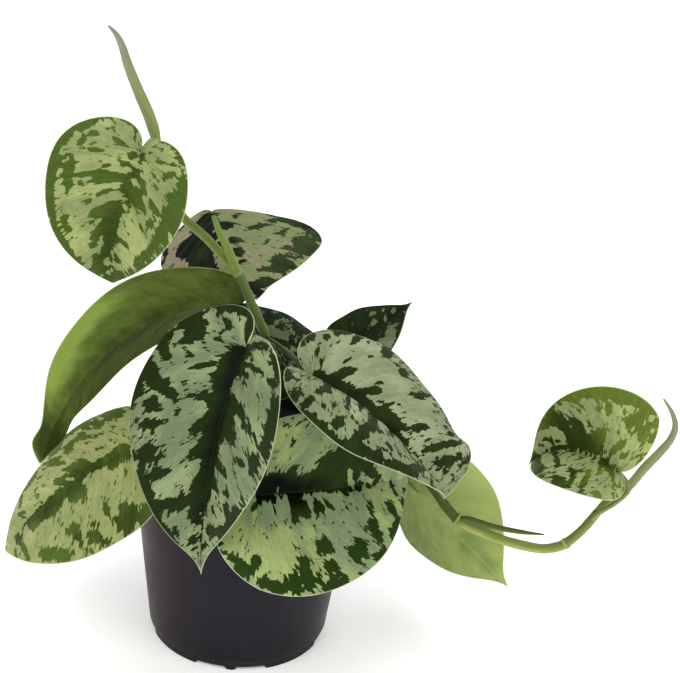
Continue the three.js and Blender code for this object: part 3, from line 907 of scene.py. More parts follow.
    def measured(self, points: Array, across: Array) -> tuple[Array, Array, Array]:
        """Measures the middle sheet in millimetres.

        Args:
            points: Its points, angles x across x 3.
            across: Places across.

        Returns:
            The way along the leaf, taken on the lines 0.6 of the way across, the way out
            from the midrib, positive to the left, and the distance to the nearer margin.
        """
        steps = np.linalg.norm(np.diff(points, axis=1), axis=2)
        run = np.concatenate([np.zeros((len(points), 1)), np.cumsum(steps, axis=1)], axis=1)
        middle = self.columns // 2
        w = run - run[:, middle : middle + 1]
        guide = np.abs(np.abs(across) - 0.6).argsort()[:2]
        gaps = np.linalg.norm(np.diff(points[:, guide], axis=0), axis=2).mean(axis=1)
        v = np.concatenate([[0], np.cumsum(gaps)])[:, None] + np.zeros_like(w)

        def slant(column: int, inner: int) -> Array:
            """Sine of the angle between vein and margin, for each row.

            Args:
                column: Column of the margin.
                inner: A column a little way in from it.

            Returns:
                The size of vein x margin over the product of their lengths.
            """
            out = points[:, column] - points[:, inner]
            way = np.gradient(points[:, column], axis=0)
            size = np.linalg.norm(np.cross(out, way), axis=1)
            return size / (np.linalg.norm(out, axis=1) * np.linalg.norm(way, axis=1) + 1e-9)

        to_right = (w - w[:, :1]) * slant(0, 3)[:, None]
        to_left = (w[:, -1:] - w) * slant(-1, -4)[:, None]
        return v, w, np.minimum(to_right, to_left)

    def relief(self, v: Array, w: Array, edge: Array) -> Array:
        """Quilting between the side veins.

        It rises by the leaf's own quilt times the square root of |sin| of the way from
        vein to vein, calm at midrib and margin, and broader lumps of noise lie over it.

        Args:
            v: Way along the leaf.
            w: Way out from the midrib.
            edge: Distance to the margin.

        Returns:
            Heights in millimetres.
        """
        jitter = 1.6 * soft_noise(v / 14, w / 30, self.seed)
        swell = np.sqrt(np.abs(np.sin(math.pi * (v + jitter) / self.vein_spacing)) + 0.02)
        calm = step(np.abs(w), 1, 7) * step(edge, 0.5, 5)
        size = self.quilt * (1 + 0.45 * soft_noise(v / 11, w / 17, self.seed + 5))
        lumps = self.quilt * 0.7 * soft_noise(v / 5.2, w / 8.5, self.seed + 9) * step(edge, 0, 6)
        return size * swell * calm + lumps

    def facts(self, angle: Array, across: Array, measures: tuple[Array, Array, Array]) -> dict[str, Array]:
        """Works out what the finish reads at each vertex.

        Args:
            angle: Outline angles.
            across: Places across.
            measures: The way along, the way out and the distance to the margin.

        Returns:
            Named values of the upper skin, the under skin without the two margin columns,
            and the two poles.
        """
        v, w, edge = measures
        bias = self.silver + self.spread(self.marks, angle, across)
        along_rib = np.exp(-((across[None] / self.rib_wide) ** 2))
        bias = bias - self.rib_dark * along_rib * step(angle, 0.3, 1.2)[:, None]
        bias = bias - self.margin_dark * step(np.abs(across), 0.75, 1)[None]
        tone = self.pale + self.spread(self.tones, angle, across)

        def both(values: Array, poles: tuple[float, float]) -> Array:
            """Values of both skins in the loops' order, then the poles'."""
            skins = np.concatenate([values, values[:, -2:0:-1]], axis=1)
            return np.concatenate([skins.ravel(), poles])

        sheet = both(0 * v + self.seed * 7.3, (self.seed * 7.3, self.seed * 7.3))
        return {
            "vein": np.stack([both(v, (0, v.max())), both(w, (0, 0)), sheet], -1),
            "edge": both(edge, (0, 0)),
            "rib": both(np.abs(w), (0, 0)),
            "silver": both(bias, (bias[0].mean(), bias[-1].mean())),
            "tone": both(tone, (tone[0].mean(), tone[-1].mean())),
        }

    def blade(self) -> bpy.types.Object:
        """Builds the blade as one closed sheet of two skins that meet in a rounded margin.

        The skins stand off the middle sheet by half the thickness, which falls to nothing
        over the last half millimetre as a quarter circle. Both are sunk along the midrib
        by exp(-(w/1.15)^2) of the way w out from it, less towards the tip, which leaves a
        groove on top, and the lower one by exp(-w^2) once more, which leaves a keel.

        Returns:
            The blade's object.
        """
        angle, across = self.grid()
        points, normals = self.sheet(angle, across)
        v, w, edge = measures = self.measured(points, across)
        half = np.where(across >= 0, self.left, self.right) * self.outline(angle)[:, None]
        half = half + self.swelling(angle[:, None], (across >= 0)[None])
        inset = np.minimum(self.margin_round / np.maximum(half, 0.01), 0.5)
        past = np.clip((np.abs(across) - (1 - inset)) / inset, 0, 1)
        skin = self.thickness / 2 * np.sqrt(1 - past**2)
        relief = self.relief(v, w, edge)
        left_over = 1 - ((1 - np.cos(angle)) / 2)[:, None] ** self.rib_power
        depth = self.groove_depth * left_over**0.7 * np.exp(-((w / self.groove_wide) ** 2))
        keel = self.keel_depth * self.keel * left_over**0.8 * np.exp(-((w / self.keel_wide) ** 2))
        upper = points + normals * (skin + relief - depth)[..., None]
        under = points + normals * (relief - skin - depth - keel)[..., None]
        loops = np.concatenate([upper, under[:, -2:0:-1]], axis=1)
        (first, last), _ = self.sheet(np.array([0.0, math.pi]), np.array([0.0]))
        facts = self.facts(angle, across, measures)
        piece = closed_surface(f"{self.name}_blade", loops, first[0], last[0], facts, self.columns)
        piece.data.materials.append(self.finish.upper(f"{self.name}_upper"))
        piece.data.materials.append(self.finish.lower(f"{self.name}_under"))
        return piece

    def stalk_knots(self) -> list[Knot]:
        """The stalk's knots, carried on as a thinning keel under the midrib.

        The keel's knots are at 0, 0.1, 0.22 and 0.36 of the midrib, times the leaf's own
        keel. The outline angle of a part is acos(1 - 2 part^0.4), and they hang below the
        groove by nine tenths of their radius.

        Returns:
            The knots.
        """
        radius = self.stalk[-1][3]
        parts = np.array([0, 0.1, 0.22, 0.36]) * self.keel
        scales = np.array([0.95, 0.8, 0.62, 0.4]) * radius
        points, normals = self.sheet(np.arccos(1 - 2 * parts ** (1 / self.rib_power)), np.array([0.0]))
        spots = points[:, 0] - normals[:, 0] * (self.groove_depth + 0.9 * scales)[:, None]
        return list(self.stalk) + [(*spot, size) for spot, size in zip(spots.tolist(), scales.tolist())]

    def build(self) -> list[bpy.types.Object]:
        """Builds blade and stalk and lets the blade stand for the leaf's solid.

        Returns:
            Both objects.
        """
        blade = self.blade()
        stalk = Stem(f"{self.name}_stalk", self.stalk_knots(), self.slot, self.stem, groove=0.16).build()
        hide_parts(self.name)
        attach(blade, "root")
        return [blade, stalk]


# ---- stems and shoots ---------------------------------------------------------------


@dataclass
class Stem:
    """A round stem through knots of X, Y, Z and radius, in millimetres.

    nodes are places among the knots where a leaf sits, with a pale ring, and scars those
    with a dark line. tones are pairs of a place among the knots and the tone there, with
    straight lines between them.
    """

    name: str
    knots: list[Knot]
    slot: Slot
    finish: StemFinish
    nodes: list[int] = field(default_factory=list)
    scars: list[int] = field(default_factory=list)
    tones: tuple[tuple[float, float], ...] = ((0, 1),)
    groove: float = 0.0
    step_in: float = 0.0
    flat: float = 0.0
    spiral: float = 0.0
    uneven: float = 0.02
    node_swell: float = 0.1
    sides: int = 24
    per_span: int = 12
    replaces: str | None = None

    def build(self) -> bpy.types.Object:
        """Carries the section along the path and closes both ends with a dome.

        At angle q round the path the section's radius is the path's radius times
        1 + step_in (0.4 - q/2pi) - groove exp(-((q - pi)/0.5)^2) - flat cos 2q, so
        step_in gives the free edge of a rolled blade. The path's radius is a tenth larger
        on a node and two hundredths uneven. The end rings shrink as a quarter circle.

        Returns:
            The stem's object.
        """
        points, radii = smooth_path(self.knots, self.per_span)
        place = np.arange(len(points)) / self.per_span
        steps = np.linalg.norm(np.diff(points, axis=0), axis=1)
        along = np.concatenate([[0], np.cumsum(steps)])

        def bands(places: list[int], past: float, reach: float) -> Array:
            """Marks a narrow band of the path at each of these knots.

            Args:
                places: The knots.
                past: How far past its knot a band lies.
                reach: Half its width.

            Returns:
                1 in the middle of a band, falling to 0 as exp(-(off / reach)^2).
            """
            share = np.zeros(len(points))
            for knot in places:
                at = along[knot * self.per_span]
                share = np.maximum(share, np.exp(-(((along - at - past) / reach) ** 2)))
            return share

        ring, scar = bands(self.nodes, 0, 1.0), bands(self.scars, 0.9, 0.5)
        lumps = self.uneven * soft_noise(along / 3, along * 0, len(self.name))
        radii = radii * (1 + lumps + self.node_swell * ring)

        dome = np.linspace(0, math.pi / 2, 6)[1:]
        ahead, behind = points[-1] - points[-2], points[0] - points[1]
        ahead, behind = ahead / np.linalg.norm(ahead), behind / np.linalg.norm(behind)
        head = points[-1] + ahead * (radii[-1] * np.sin(dome[:-1]))[:, None]
        foot = points[0] + behind * (radii[0] * np.sin(dome[:-1]))[:, None]
        path = np.concatenate([foot[::-1], points, head])
        narrow = np.cos(dome[:-1])
        reach = np.concatenate([radii[0] * narrow[::-1], radii, radii[-1] * narrow])
        turn = circle(self.sides)
        shape = 1 + self.step_in * (0.4 - turn / (2 * math.pi))
        shape = shape - self.groove * np.exp(-(((turn - math.pi) / 0.5) ** 2))
        shape = shape - self.flat * np.cos(2 * turn)
        spin = turn[None] + self.spiral * np.linspace(0, 1, len(path))[:, None]
        loops = carried_rings(path, reach[:, None] * shape[None], spin)
        first, last = points[0] + behind * radii[0], points[-1] + ahead * radii[-1]

        def per_vertex(values: Array) -> Array:
            """One value for each ring, repeated round it and held over both domes."""
            held = np.pad(values, len(dome) - 1, "edge")
            return np.concatenate([np.repeat(held, self.sides), values[[0, -1]]])

        tone = np.interp(place, *zip(*self.tones))
        round_mm = np.tile(np.abs(turn - math.pi) * float(np.mean(radii)), len(path))
        round_mm = np.concatenate([round_mm, [0, 0]])
        run = np.stack([round_mm, per_vertex(along), np.full(len(round_mm), float(len(self.name)))], -1)
        facts = {"run": run, "ring": per_vertex(ring), "scar": per_vertex(scar), "tone": per_vertex(tone)}
        piece = closed_surface(self.name, loops, first, last, facts)
        piece.data.materials.append(self.finish.made(f"{self.name}_skin"))
        if self.replaces:
            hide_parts(self.replaces)
        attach(piece, "root")
        return piece


# ---- pot and potting mix -------------------------------------------------------------


@dataclass
class NurseryPot:
    """Thin tapered pot with a deep rim band, a step above the foot and a notched foot."""

    height: float = 105
    foot_radius: float = 44.8
    top_radius: float = 57
    wall: float = 1.4
    rim_radius: float = 60
    rim_depth: float = 12
    rim_lip: float = 2.4
    foot_height: float = 5
    foot_inset: float = 0.7
    foot_ring: float = 3.2
    floor: float = 1.6
    pad_radius: float = 15
    notch_pairs: int = 4
    notch_width: float = 15
    notch_apart: float = 20
    notch_height: float = 1.8
    holes: int = 8
    hole_radius: float = 3.5
    hole_circle: float = 30
    knee: float = 9
    split: float = 4
    segments: int = 360
    finish: PlasticFinish = PlasticFinish()

    def wall_radius(self, z: float) -> float:
        """Outer radius of the wall at a height."""
        return self.foot_radius + (self.top_radius - self.foot_radius) * z / self.height

    def profile(self) -> Array:
        """The wall's section from the underside's centre round to the floor's centre.

        Every corner of a plain outline is cut back by up to its own rounding and filled
        with the quadratic curve a (1-f)^2 + 2 b f (1-f) + c f^2 that the corner b pulls.

        Returns:
            Radius and height of each point, without the two points on the axis.
        """
        top, rim_low = self.height, self.height - self.rim_depth
        foot = self.foot_radius - self.foot_inset
        plate = self.foot_height - self.floor
        inner = self.wall_radius(rim_low) - self.wall
        corners = np.array(
            [
                (0, 0, 0),
                (self.pad_radius, 0, 0.4),
                (self.pad_radius + 1, plate, 0.3),
                (foot - self.foot_ring, plate, 0.3),
                (foot - self.foot_ring + 0.4, 0, 0.4),
                (foot, 0, 0.5),
                (foot + 0.2, self.foot_height - 0.5, 0.3),
                (self.wall_radius(self.foot_height), self.foot_height, 0.5),
                (self.wall_radius(rim_low) - 0.1, rim_low, 0.8),
                (self.rim_radius - 0.6, rim_low + 0.2, 0.7),
                (self.rim_radius, top - 0.5, 0.7),
                (self.rim_radius - 1.2, top, 0.7),
                (self.rim_radius - self.rim_lip, top - 0.6, 0.5),
                (self.rim_radius - self.rim_lip - 0.4, rim_low + 1.5, 0.8),
                (inner, rim_low - 0.5, 0.8),
                (self.wall_radius(self.knee) - self.wall, self.knee, 1.0),
                (self.wall_radius(self.knee) - self.wall - 3, self.foot_height, 1.0),
                (0, self.foot_height, 0),
            ],
            float,
        )
        spots, radius = corners[:, :2], corners[1:-1, 2:]
        b = spots[1:-1]

        def cut_back(away: Array) -> Array:
            """The point towards a neighbouring corner, at most 0.45 of the way to it."""
            size = np.linalg.norm(away, axis=1, keepdims=True)
            return b + away / size * np.minimum(radius, size * 0.45)

        a, c = cut_back(spots[:-2] - b), cut_back(spots[2:] - b)
        f = np.linspace(0, 1, 5)[None, :, None]
        curve = a[:, None] * (1 - f) ** 2 + 2 * b[:, None] * f * (1 - f) + c[:, None] * f**2
        return curve.reshape(-1, 2)

    def build(self) -> bpy.types.Object:
        """Turns the profile round the axis, lifts the foot at the notches, cuts the holes.

        Straight stretches of the profile are split every 4 mm. In a notch the foot's
        height z becomes notch + z (foot - notch) / foot, by a share that falls from 1 to 0
        over a millimetre at the notch's ends.

        Returns:
            The pot's object.
        """
        outline = self.profile()
        gaps = np.linalg.norm(np.diff(outline, axis=0), axis=1)
        counts = np.maximum(1, (gaps / self.split).astype(int))
        starts = np.repeat(np.arange(len(gaps)), counts)
        share = np.concatenate([np.arange(c) / c for c in counts])[:, None]
        line = outline[starts] * (1 - share) + outline[starts + 1] * share
        line = np.concatenate([line, outline[-1:]])
        turn = circle(self.segments)
        r, z = line[:, 0][:, None], line[:, 1][:, None] + 0 * turn
        quarter = 2 * math.pi / self.notch_pairs
        local = (turn + quarter / 2) % quarter - quarter / 2
        aside = np.abs(np.sin(local) * self.foot_radius)
        off, reach = np.abs(aside - self.notch_apart / 2), self.notch_width / 2
        inside = step(off, reach + 0.5, reach - 0.5)
        ring_radius = self.foot_radius - self.foot_inset - self.foot_ring - 0.2
        on_foot = (r > ring_radius) & (z < self.foot_height - 0.3)
        lifted = self.notch_height + z * (self.foot_height - self.notch_height) / self.foot_height
        z = np.where(on_foot, z + (lifted - z) * inside[None], z)
        rows = np.stack([r * np.cos(turn), r * np.sin(turn), z], -1)
        bend = np.zeros(len(line))
        bend[1:-1] = np.linalg.norm(np.diff(line, 2, axis=0), axis=1)
        wear = np.where((bend > 0.02) & (line[:, 0] > 40), 1.0, 0.0)
        wear = np.concatenate([np.repeat(wear, self.segments), [0, 0]])
        low, high = np.array([0, 0, 0.0]), np.array([0, 0, self.foot_height])
        piece = closed_surface("nursery_pot", rows, low, high, {"wear": wear})
        self.cut_holes(piece)
        piece.data.materials.append(self.finish.made("charcoal_plastic"))
        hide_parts("pot")
        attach(piece, "root")
        return piece

    def cut_holes(self, piece: bpy.types.Object) -> None:
        """Cuts the ring of drain holes through the floor with plain round plugs.

        Args:
            piece: The pot's object.
        """
        turn = circle(32)
        low, high = 1.0, 9.0  # the plugs' ends, well below and above the floor
        plugs = []
        for i, angle in enumerate(circle(self.holes)):
            x, y = math.cos(angle) * self.hole_circle, math.sin(angle) * self.hole_circle
            ring = np.stack([np.cos(turn) * self.hole_radius + x, np.sin(turn) * self.hole_radius + y], -1)
            rows = np.stack([np.insert(ring, 2, height, 1) for height in (low, high)])
            plug = closed_surface(f"plug_{i}", rows, np.array([x, y, low]), np.array([x, y, high]))
            cut = piece.modifiers.new("drain", "BOOLEAN")
            cut.operation = "DIFFERENCE"
            cut.solver = "EXACT"
            cut.object = plug
            plugs.append(plug)
        graph = bpy.context.evaluated_depsgraph_get()
        mesh = bpy.data.meshes.new_from_object(piece.evaluated_get(graph))
        piece.modifiers.clear()
        piece.data = mesh
        piece.data.name = "nursery_pot"
        for plug in plugs:
            bpy.data.objects.remove(plug)


@dataclass
class PottingMix:
    """Peat mix that fills the pot, with a crumbled top.

    A loose crumb's size is least plus up to more. It is longer one way by up to long
    times that size, and its height is flat times it. Its centre stands lifted times it
    over the mix, and lumpy is how uneven it is.
    """

    top: float = 92
    uneven: float = 1.2
    foot: float = 5.3
    knee: float = 9.3
    gap: float = 0.4
    segments: int = 220
    rings: int = 78
    crumbs: int = 620
    spread: float = 50.5
    least: float = 0.7
    more: float = 1.5
    long: float = 1.4
    flat: float = 0.7
    lifted: float = 0.4
    lumpy: float = 0.35
    seed: int = 11
    finish: SoilFinish = SoilFinish()

    def level(self, x: Array, y: Array) -> Array:
        """Height of the mix, gently uneven and level at the wall.

        Args:
            x: Places across, in millimetres.
            y: Places in depth.

        Returns:
            92 + 0.6 bumps (1 - edge^4), with the bumps sin(.16x + 1.1) cos(.13y - .4)
            + sin(.07x - .21y) and edge the distance from the axis over 54, at most 1.
        """
        bumps = np.sin(x * 0.16 + 1.1) * np.cos(y * 0.13 - 0.4) + np.sin(x * 0.07 - y * 0.21)
        edge = np.minimum(1, np.hypot(x, y) / 54)
        return self.top + self.uneven * 0.5 * bumps * (1 - edge**4)

    def ground(self) -> bpy.types.Object:
        """Builds the filled body, whose top carries three layers of noise as crumbs.

        They are 0.9 of the size of noise with steps of 3.1 mm, 0.6 of that of noise with
        steps of 1.4 mm, and half of plain noise with steps of 7 mm, less half a millimetre.

        Returns:
            The body's object.
        """
        pot = NurseryPot()
        rim = pot.wall_radius(self.top) - pot.wall - self.gap
        knee = pot.wall_radius(self.knee) - pot.wall - self.gap
        turn = circle(self.segments)
        reach = rim * (np.arange(self.rings, 0, -1) / self.rings)
        x, y = reach[:, None] * np.cos(turn), reach[:, None] * np.sin(turn)
        crumb = 0.9 * np.abs(soft_noise(x / 3.1, y / 3.1, 1))
        crumb = crumb + 0.6 * np.abs(soft_noise(x / 1.4, y / 1.4, 2))
        crumb = crumb + 0.5 * soft_noise(x / 7, y / 7, 3) - 0.5
        fade = step(rim - reach, 0, 1.5)[:, None]
        tops = np.stack([x, y, self.level(x, y) + crumb * fade], -1)
        half_way = ((knee + rim) / 2, (self.knee + self.top) / 2)
        sides = [
            np.stack([radius * np.cos(turn), radius * np.sin(turn), np.full_like(turn, z)], -1)
            for radius, z in ((knee - 3, self.foot), (knee, self.knee), half_way)
        ]
        rows = np.concatenate([np.stack(sides), tops])
        low = np.array([0, 0, self.foot])
        high = np.array([0, 0, float(self.level(np.zeros(1), np.zeros(1))[0])])
        below = np.full(len(sides) * self.segments, 0.2)
        tone = np.concatenate([below, (0.25 + 0.25 * crumb).ravel(), [0.2, 0.2]])
        piece = closed_surface("potting_mix", rows, low, high, {"tone": tone})
        piece.data.materials.append(self.finish.made("peat_mix"))
        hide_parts("soil")
        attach(piece, "root")
        return piece

    def scatter(self) -> bpy.types.Object:
        """Builds loose crumbs and bark chips, half sunk in the top, as one mesh.

        Each is a ball of three rings of six points and two poles, with a random radius at
        each point, stretched to three random sizes, turned by a random angle and set on
        the level of the mix.

        Returns:
            The crumbs' object.
        """
        draw = np.random.default_rng(self.seed)
        count, around, up = self.crumbs, 6, 3
        size = self.least + self.more * draw.random(count) ** 3
        length = size * (1 + self.long * draw.random(count) ** 3)
        stretch = np.stack([length, size, size * self.flat], -1)
        angle = draw.random(count) * 2 * math.pi
        far = self.spread * np.sqrt(draw.random(count))
        where = draw.random(count) * 2 * math.pi
        x, y = far * np.cos(where), far * np.sin(where)
        centre = np.stack([x, y, self.level(x, y) + self.lifted * size], -1)
        turn = circle(around)
        rise = ((np.arange(up) + 1) / (up + 1) * math.pi)[:, None]
        sides = [np.sin(rise) * np.cos(turn), np.sin(rise) * np.sin(turn), np.cos(rise) + 0 * turn]
        ball = np.concatenate([np.stack(sides, -1).reshape(-1, 3), [[0, 0, 1], [0, 0, -1]]])
        lumps = 1 + self.lumpy * (draw.random((count, len(ball), 1)) * 2 - 1)
        a, b, c = np.moveaxis(ball[None] * lumps * stretch[:, None], -1, 0)
        cos, sin = np.cos(angle)[:, None], np.sin(angle)[:, None]
        turned = np.stack([a * cos - b * sin, a * sin + b * cos, c], -1)
        points = (turned + centre[:, None]).reshape(-1, 3) * MM
        here = np.arange((up - 1) * around)
        on = here - here % around + (here + 1) % around
        quads = np.stack([here, here + around, on + around, on], -1)
        ring = np.arange(around)
        after, low, pole = (ring + 1) % around, (up - 1) * around, 0 * ring + up * around
        over, below = (pole, ring, after), (pole + 1, low + after, low + ring)
        caps = np.concatenate([np.stack(over, -1), np.stack(below, -1)])
        offset = (np.arange(count) * len(ball))[:, None, None]
        faces = (quads + offset).reshape(-1, 4).tolist() + (caps + offset).reshape(-1, 3).tolist()
        mesh = bpy.data.meshes.new("soil_crumbs")
        mesh.from_pydata(points.tolist(), [], faces)
        store(mesh, "tone", np.repeat(draw.random(count) ** 1.5, len(ball)))
        mesh.update()
        piece = show("soil_crumbs", mesh)
        piece.data.materials.append(self.finish.made("bark_and_crumbs"))
        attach(piece, "root")
        return piece


# ---- the plant's own sizes -------------------------------------------------------------

BLUE_LEAF = LeafFinish(deep="0a140a", green="1f2c10", silver="6f7d5b", warm="829065")
CREAM_LEAF = LeafFinish(deep="0b1406", green="222f11", silver="7a8762", warm="8d9472", islands=0.6)
LOW_LEAF = LeafFinish(deep="060c03", green="263a13", silver="80926b", warm="98a769")
LIGHT_LEAF = LeafFinish(deep="2c3b12", green="455922", silver="828f5b", warm="939d62")
TIP_LEAF = LeafFinish(deep="2a3a13", green="5c6e28", silver="8a9563", warm="9aa56a")
SIDE_LEAF = LeafFinish(deep="2a3912", green="4b5e26", silver="8b955c", warm="9aa066")
GREY_LEAF = LeafFinish(deep="0b1005", green="2c3c19", silver="737d50", warm="857b64", steer=-0.8)
# Shaded copy of the leaf finish for the two back leaves: silver, green and margin line are darkened as
# painted shade.
SHADE_LEAF = LeafFinish(deep="050b02", green="162407", silver="4d5a3a", warm="5f6b4d", line="77875a")
ARCHING_LEAF = LeafFinish(
    under="8ba24c", under_dark="34421a", line="8c9a58", rib_line=0.02, drift=0.4, gloss=0.05
)
BACK_LEAF = LeafFinish(under="b1c270", under_dark="708645", line="c3cb92", rib_line=0.16, drift=0.55)

# On both vines the young colour is painted shade, laid on each vine up to its first node.
VINE = StemFinish(top="66732c", side="7d8d3b", young_and_shade="50672a", ring="7d8650")
TRAILING = StemFinish(top="6f7c38", side="a3b056", young_and_shade="40531a", ring="939a55")
YOUNG = StemFinish(top="6b7a3a", side="87964c", young_and_shade="5c6d2c")
ROLLED = StemFinish(top="787f57", side="8c8674", young_and_shade="7a8a3e", ring="9aa070")
STRAP = StemFinish(top="6b8234", side="768d3e", young_and_shade="b4bb8c", ring="8f9a62")
BUD = StemFinish(top="3c4a17", side="566723", young_and_shade="3c4a1d", scar="1d140e")
DARK_STALK = StemFinish(top="2b3c17", side="43561f", young_and_shade="34471c")


# Silver and dark marks of each leaf, as patches.
CROWN_LEFT_MARKS: list[Patch] = [
    (2.9, 0, 0.12, 1.2, 0, -1.1), (2.72, 0.6, 0.06, 0.35, 0, -0.9), (1.3, -0.95, 0.9, 0.04, 0, -0.5),
    (0.8, -0.87, 0.1, 0.06, 1, -0.8), (0.88, -0.7, 0.1, 0.08, 0.8, -0.85),
    (1.08, -0.73, 0.09, 0.05, 0.5, -0.85), (0.82, -0.35, 0.12, 0.12, 0.5, -0.95),
    (1.21, -0.5, 0.04, 0.07, 0.2, -0.85), (1.08, -0.95, 0.12, 0.07, 0, -0.9),
    (1.5, -0.75, 0.2, 0.055, 0.2, -0.95), (1.5, -0.95, 0.13, 0.06, 0, -0.85),
    (1.15, -0.08, 0.16, 0.05, 0, -0.95), (1.1, 0.07, 0.22, 0.05, 0, -0.95),
    (0.75, 0.2, 0.1, 0.08, -1, -0.8), (1.48, -0.34, 0.04, 0.06, 0, -0.85),
    (1.42, -0.12, 0.06, 0.09, 0.3, -0.95), (1.58, -0.45, 0.04, 0.27, 0.05, -0.95),
    (1.66, -0.25, 0.06, 0.26, 0, -1.05), (1.55, 0.15, 0.07, 0.15, 0.3, -1.05),
    (1.77, 0.2, 0.1, 0.25, 0.1, -1.15), (1.83, -0.3, 0.035, 0.13, -0.2, -0.75),
    (2.02, -0.15, 0.08, 0.28, 0, -1.15), (2.17, -0.12, 0.1, 0.18, 0, -1.15),
    (2.25, -0.35, 0.05, 0.13, -0.2, -0.95), (2.35, -0.45, 0.04, 0.11, 0, -0.9),
    (2.28, 0, 0.06, 0.2, 0.05, -1.05), (2.26, 0.33, 0.03, 0.2, -0.1, -0.95),
    (2.42, -0.1, 0.1, 0.14, 0, -0.9), (2.55, -0.45, 0.08, 0.36, -0.2, -1.05),
    (2.68, -0.5, 0.06, 0.36, 0, -0.95), (2.48, 0.38, 0.04, 0.12, 0, -0.85),
    (2.55, 0.07, 0.04, 0.1, 0, -0.85), (2.62, 0.7, 0.055, 0.22, -0.15, -0.95),
    (1.3, 0.82, 0.08, 0.12, -0.4, -0.95), (1.12, 0.92, 0.12, 0.08, 0, -0.9),
    (1.6, 0.83, 0.24, 0.1, 0, -1), (1.65, 0.58, 0.04, 0.13, 0, -0.85),
    (1.76, 0.65, 0.05, 0.06, 0.3, -0.7), (1.88, 0.84, 0.13, 0.055, 0, -0.85),
    (1.85, 0.63, 0.06, 0.04, 0.6, -0.65), (2.2, 0.84, 0.16, 0.07, 0.1, -0.9),
    (0.98, 0.42, 0.05, 0.07, -0.5, -0.85), (1.1, 0.63, 0.07, 0.1, -1, -0.95),
    (0.87, 0.7, 0.04, 0.12, -0.5, -0.65), (1.34, 0.37, 0.025, 0.05, 0, -0.65),
    (0.47, 0.6, 0.05, 0.09, 0, -0.7), (2.05, -0.8, 0.08, 0.06, 0.4, -0.8),
    (2.25, -0.95, 0.15, 0.06, 0, -0.7),
]
BACK_UPPER_MARKS: list[Patch] = [
    (1.2, -0.2, 0.8, 0.18, 0, -1.5), (1.75, -0.5, 0.45, 0.17, 0, -1.6), (1.38, -0.62, 0.16, 0.1, 0, -1.2),
    (1.85, -0.68, 0.12, 0.1, 0, -1.2), (1.02, -0.9, 0.12, 0.06, 0.8, -0.9),
    (1.17, -0.95, 0.05, 0.07, 0, -0.8), (0.75, -0.95, 0.06, 0.06, 0, -0.6),
    (1.55, 0.14, 0.14, 0.07, -0.8, -1.2), (1.9, 0.2, 0.06, 0.09, -0.4, -1.15),
    (2.1, 0.22, 0.08, 0.09, -0.4, -1.15), (2.25, 0.25, 0.03, 0.08, -0.4, -0.8),
    (1.35, 0.45, 0.08, 0.1, -1.8, -1.1), (1.75, 0.54, 0.07, 0.03, -1.5, -0.9),
    (1.37, 0.65, 0.06, 0.07, -2.2, -1.05), (0.95, 0.62, 0.08, 0.13, -1.6, -1.15),
    (0.8, 0.85, 0.2, 0.13, -1, -1.3), (0.75, 0.32, 0.05, 0.1, -2.4, -0.9),
    (1.15, 0.22, 0.12, 0.035, -2, -0.8), (1.6, 0.88, 0.25, 0.12, 0, -1.4),
    (2.05, 0.82, 0.14, 0.13, 0.3, -1.4), (1.12, 0.95, 0.2, 0.1, 0, -1.3),
    (2.5, 0.78, 0.13, 0.27, -0.3, -1.5), (2.64, 0.5, 0.08, 0.3, -0.2, -1.3),
    (2.83, 0.7, 0.14, 0.6, 0, -1.2), (2.25, 0.68, 0.05, 0.16, -0.4, -1.1),
    (1.75, 0.73, 0.06, 0.04, -1, -0.8), (2.28, 0.92, 0.05, 0.07, 0, 0.6),
    (1.45, 0.97, 0.05, 0.06, 0, 0.7), (1.25, 0.8, 0.03, 0.06, -1, 0.6),
]
LOW_LEFT_MARKS: list[Patch] = [
    (0.98, -0.8, 0.15, 0.2, 0.3, -0.95), (1.28, -0.75, 0.12, 0.12, 0, -0.9),
    (1.45, -0.95, 0.2, 0.07, 0, -1), (1.53, -0.7, 0.06, 0.14, 0.2, -0.9),
    (1.68, -0.68, 0.06, 0.1, 0.5, -0.8), (1.7, -0.9, 0.08, 0.12, 0.3, -0.9),
    (1.87, -0.7, 0.05, 0.2, 0.1, -1), (2.05, -0.93, 0.1, 0.08, 0.3, -0.8),
    (2.3, -0.85, 0.04, 0.14, 0.6, -0.7), (1.22, -0.5, 0.04, 0.05, 0, -0.65),
    (1.45, -0.48, 0.04, 0.05, 0, -0.7), (1.6, -0.27, 0.03, 0.05, 0, -0.6),
    (1.48, 0.02, 0.13, 0.13, 0, -1.1), (1.7, -0.02, 0.13, 0.07, 0, -1),
    (1.62, 0.1, 0.05, 0.09, -0.3, -0.85), (1.88, -0.2, 0.08, 0.18, 0, -1.1),
    (1.97, 0.15, 0.09, 0.21, -0.3, -1.05), (2.05, -0.2, 0.07, 0.15, 0, -0.95),
    (2.22, 0.1, 0.14, 0.21, 0, -1.15), (2.38, 0.1, 0.09, 0.2, 0, -1.1),
    (1.35, 0.8, 0.12, 0.17, -0.3, -1.05), (1.12, 0.9, 0.1, 0.12, -0.3, -0.9),
    (1.6, 0.6, 0.04, 0.1, -0.5, -0.9), (1.68, 0.82, 0.07, 0.1, -0.5, -0.9),
    (1.9, 0.7, 0.045, 0.13, -0.5, -0.95), (2, 0.65, 0.03, 0.07, -0.4, -0.8),
    (2.03, 0.92, 0.08, 0.1, -0.3, -0.9), (2.2, 0.86, 0.08, 0.09, 0, -0.85),
    (2.5, 0.72, 0.04, 0.26, -0.3, -0.95), (2.63, 0.3, 0.05, 0.26, -0.1, -0.95),
    (1.43, 0.3, 0.022, 0.09, -0.2, -0.6), (2.22, -0.48, 0.028, 0.12, 0.1, -0.6),
    (2.45, -0.5, 0.028, 0.2, 0, -0.6), (2.85, 0.5, 0.03, 0.5, 0, -0.5), (1.4, 0.97, 0.04, 0.05, 0, 0.7),
]
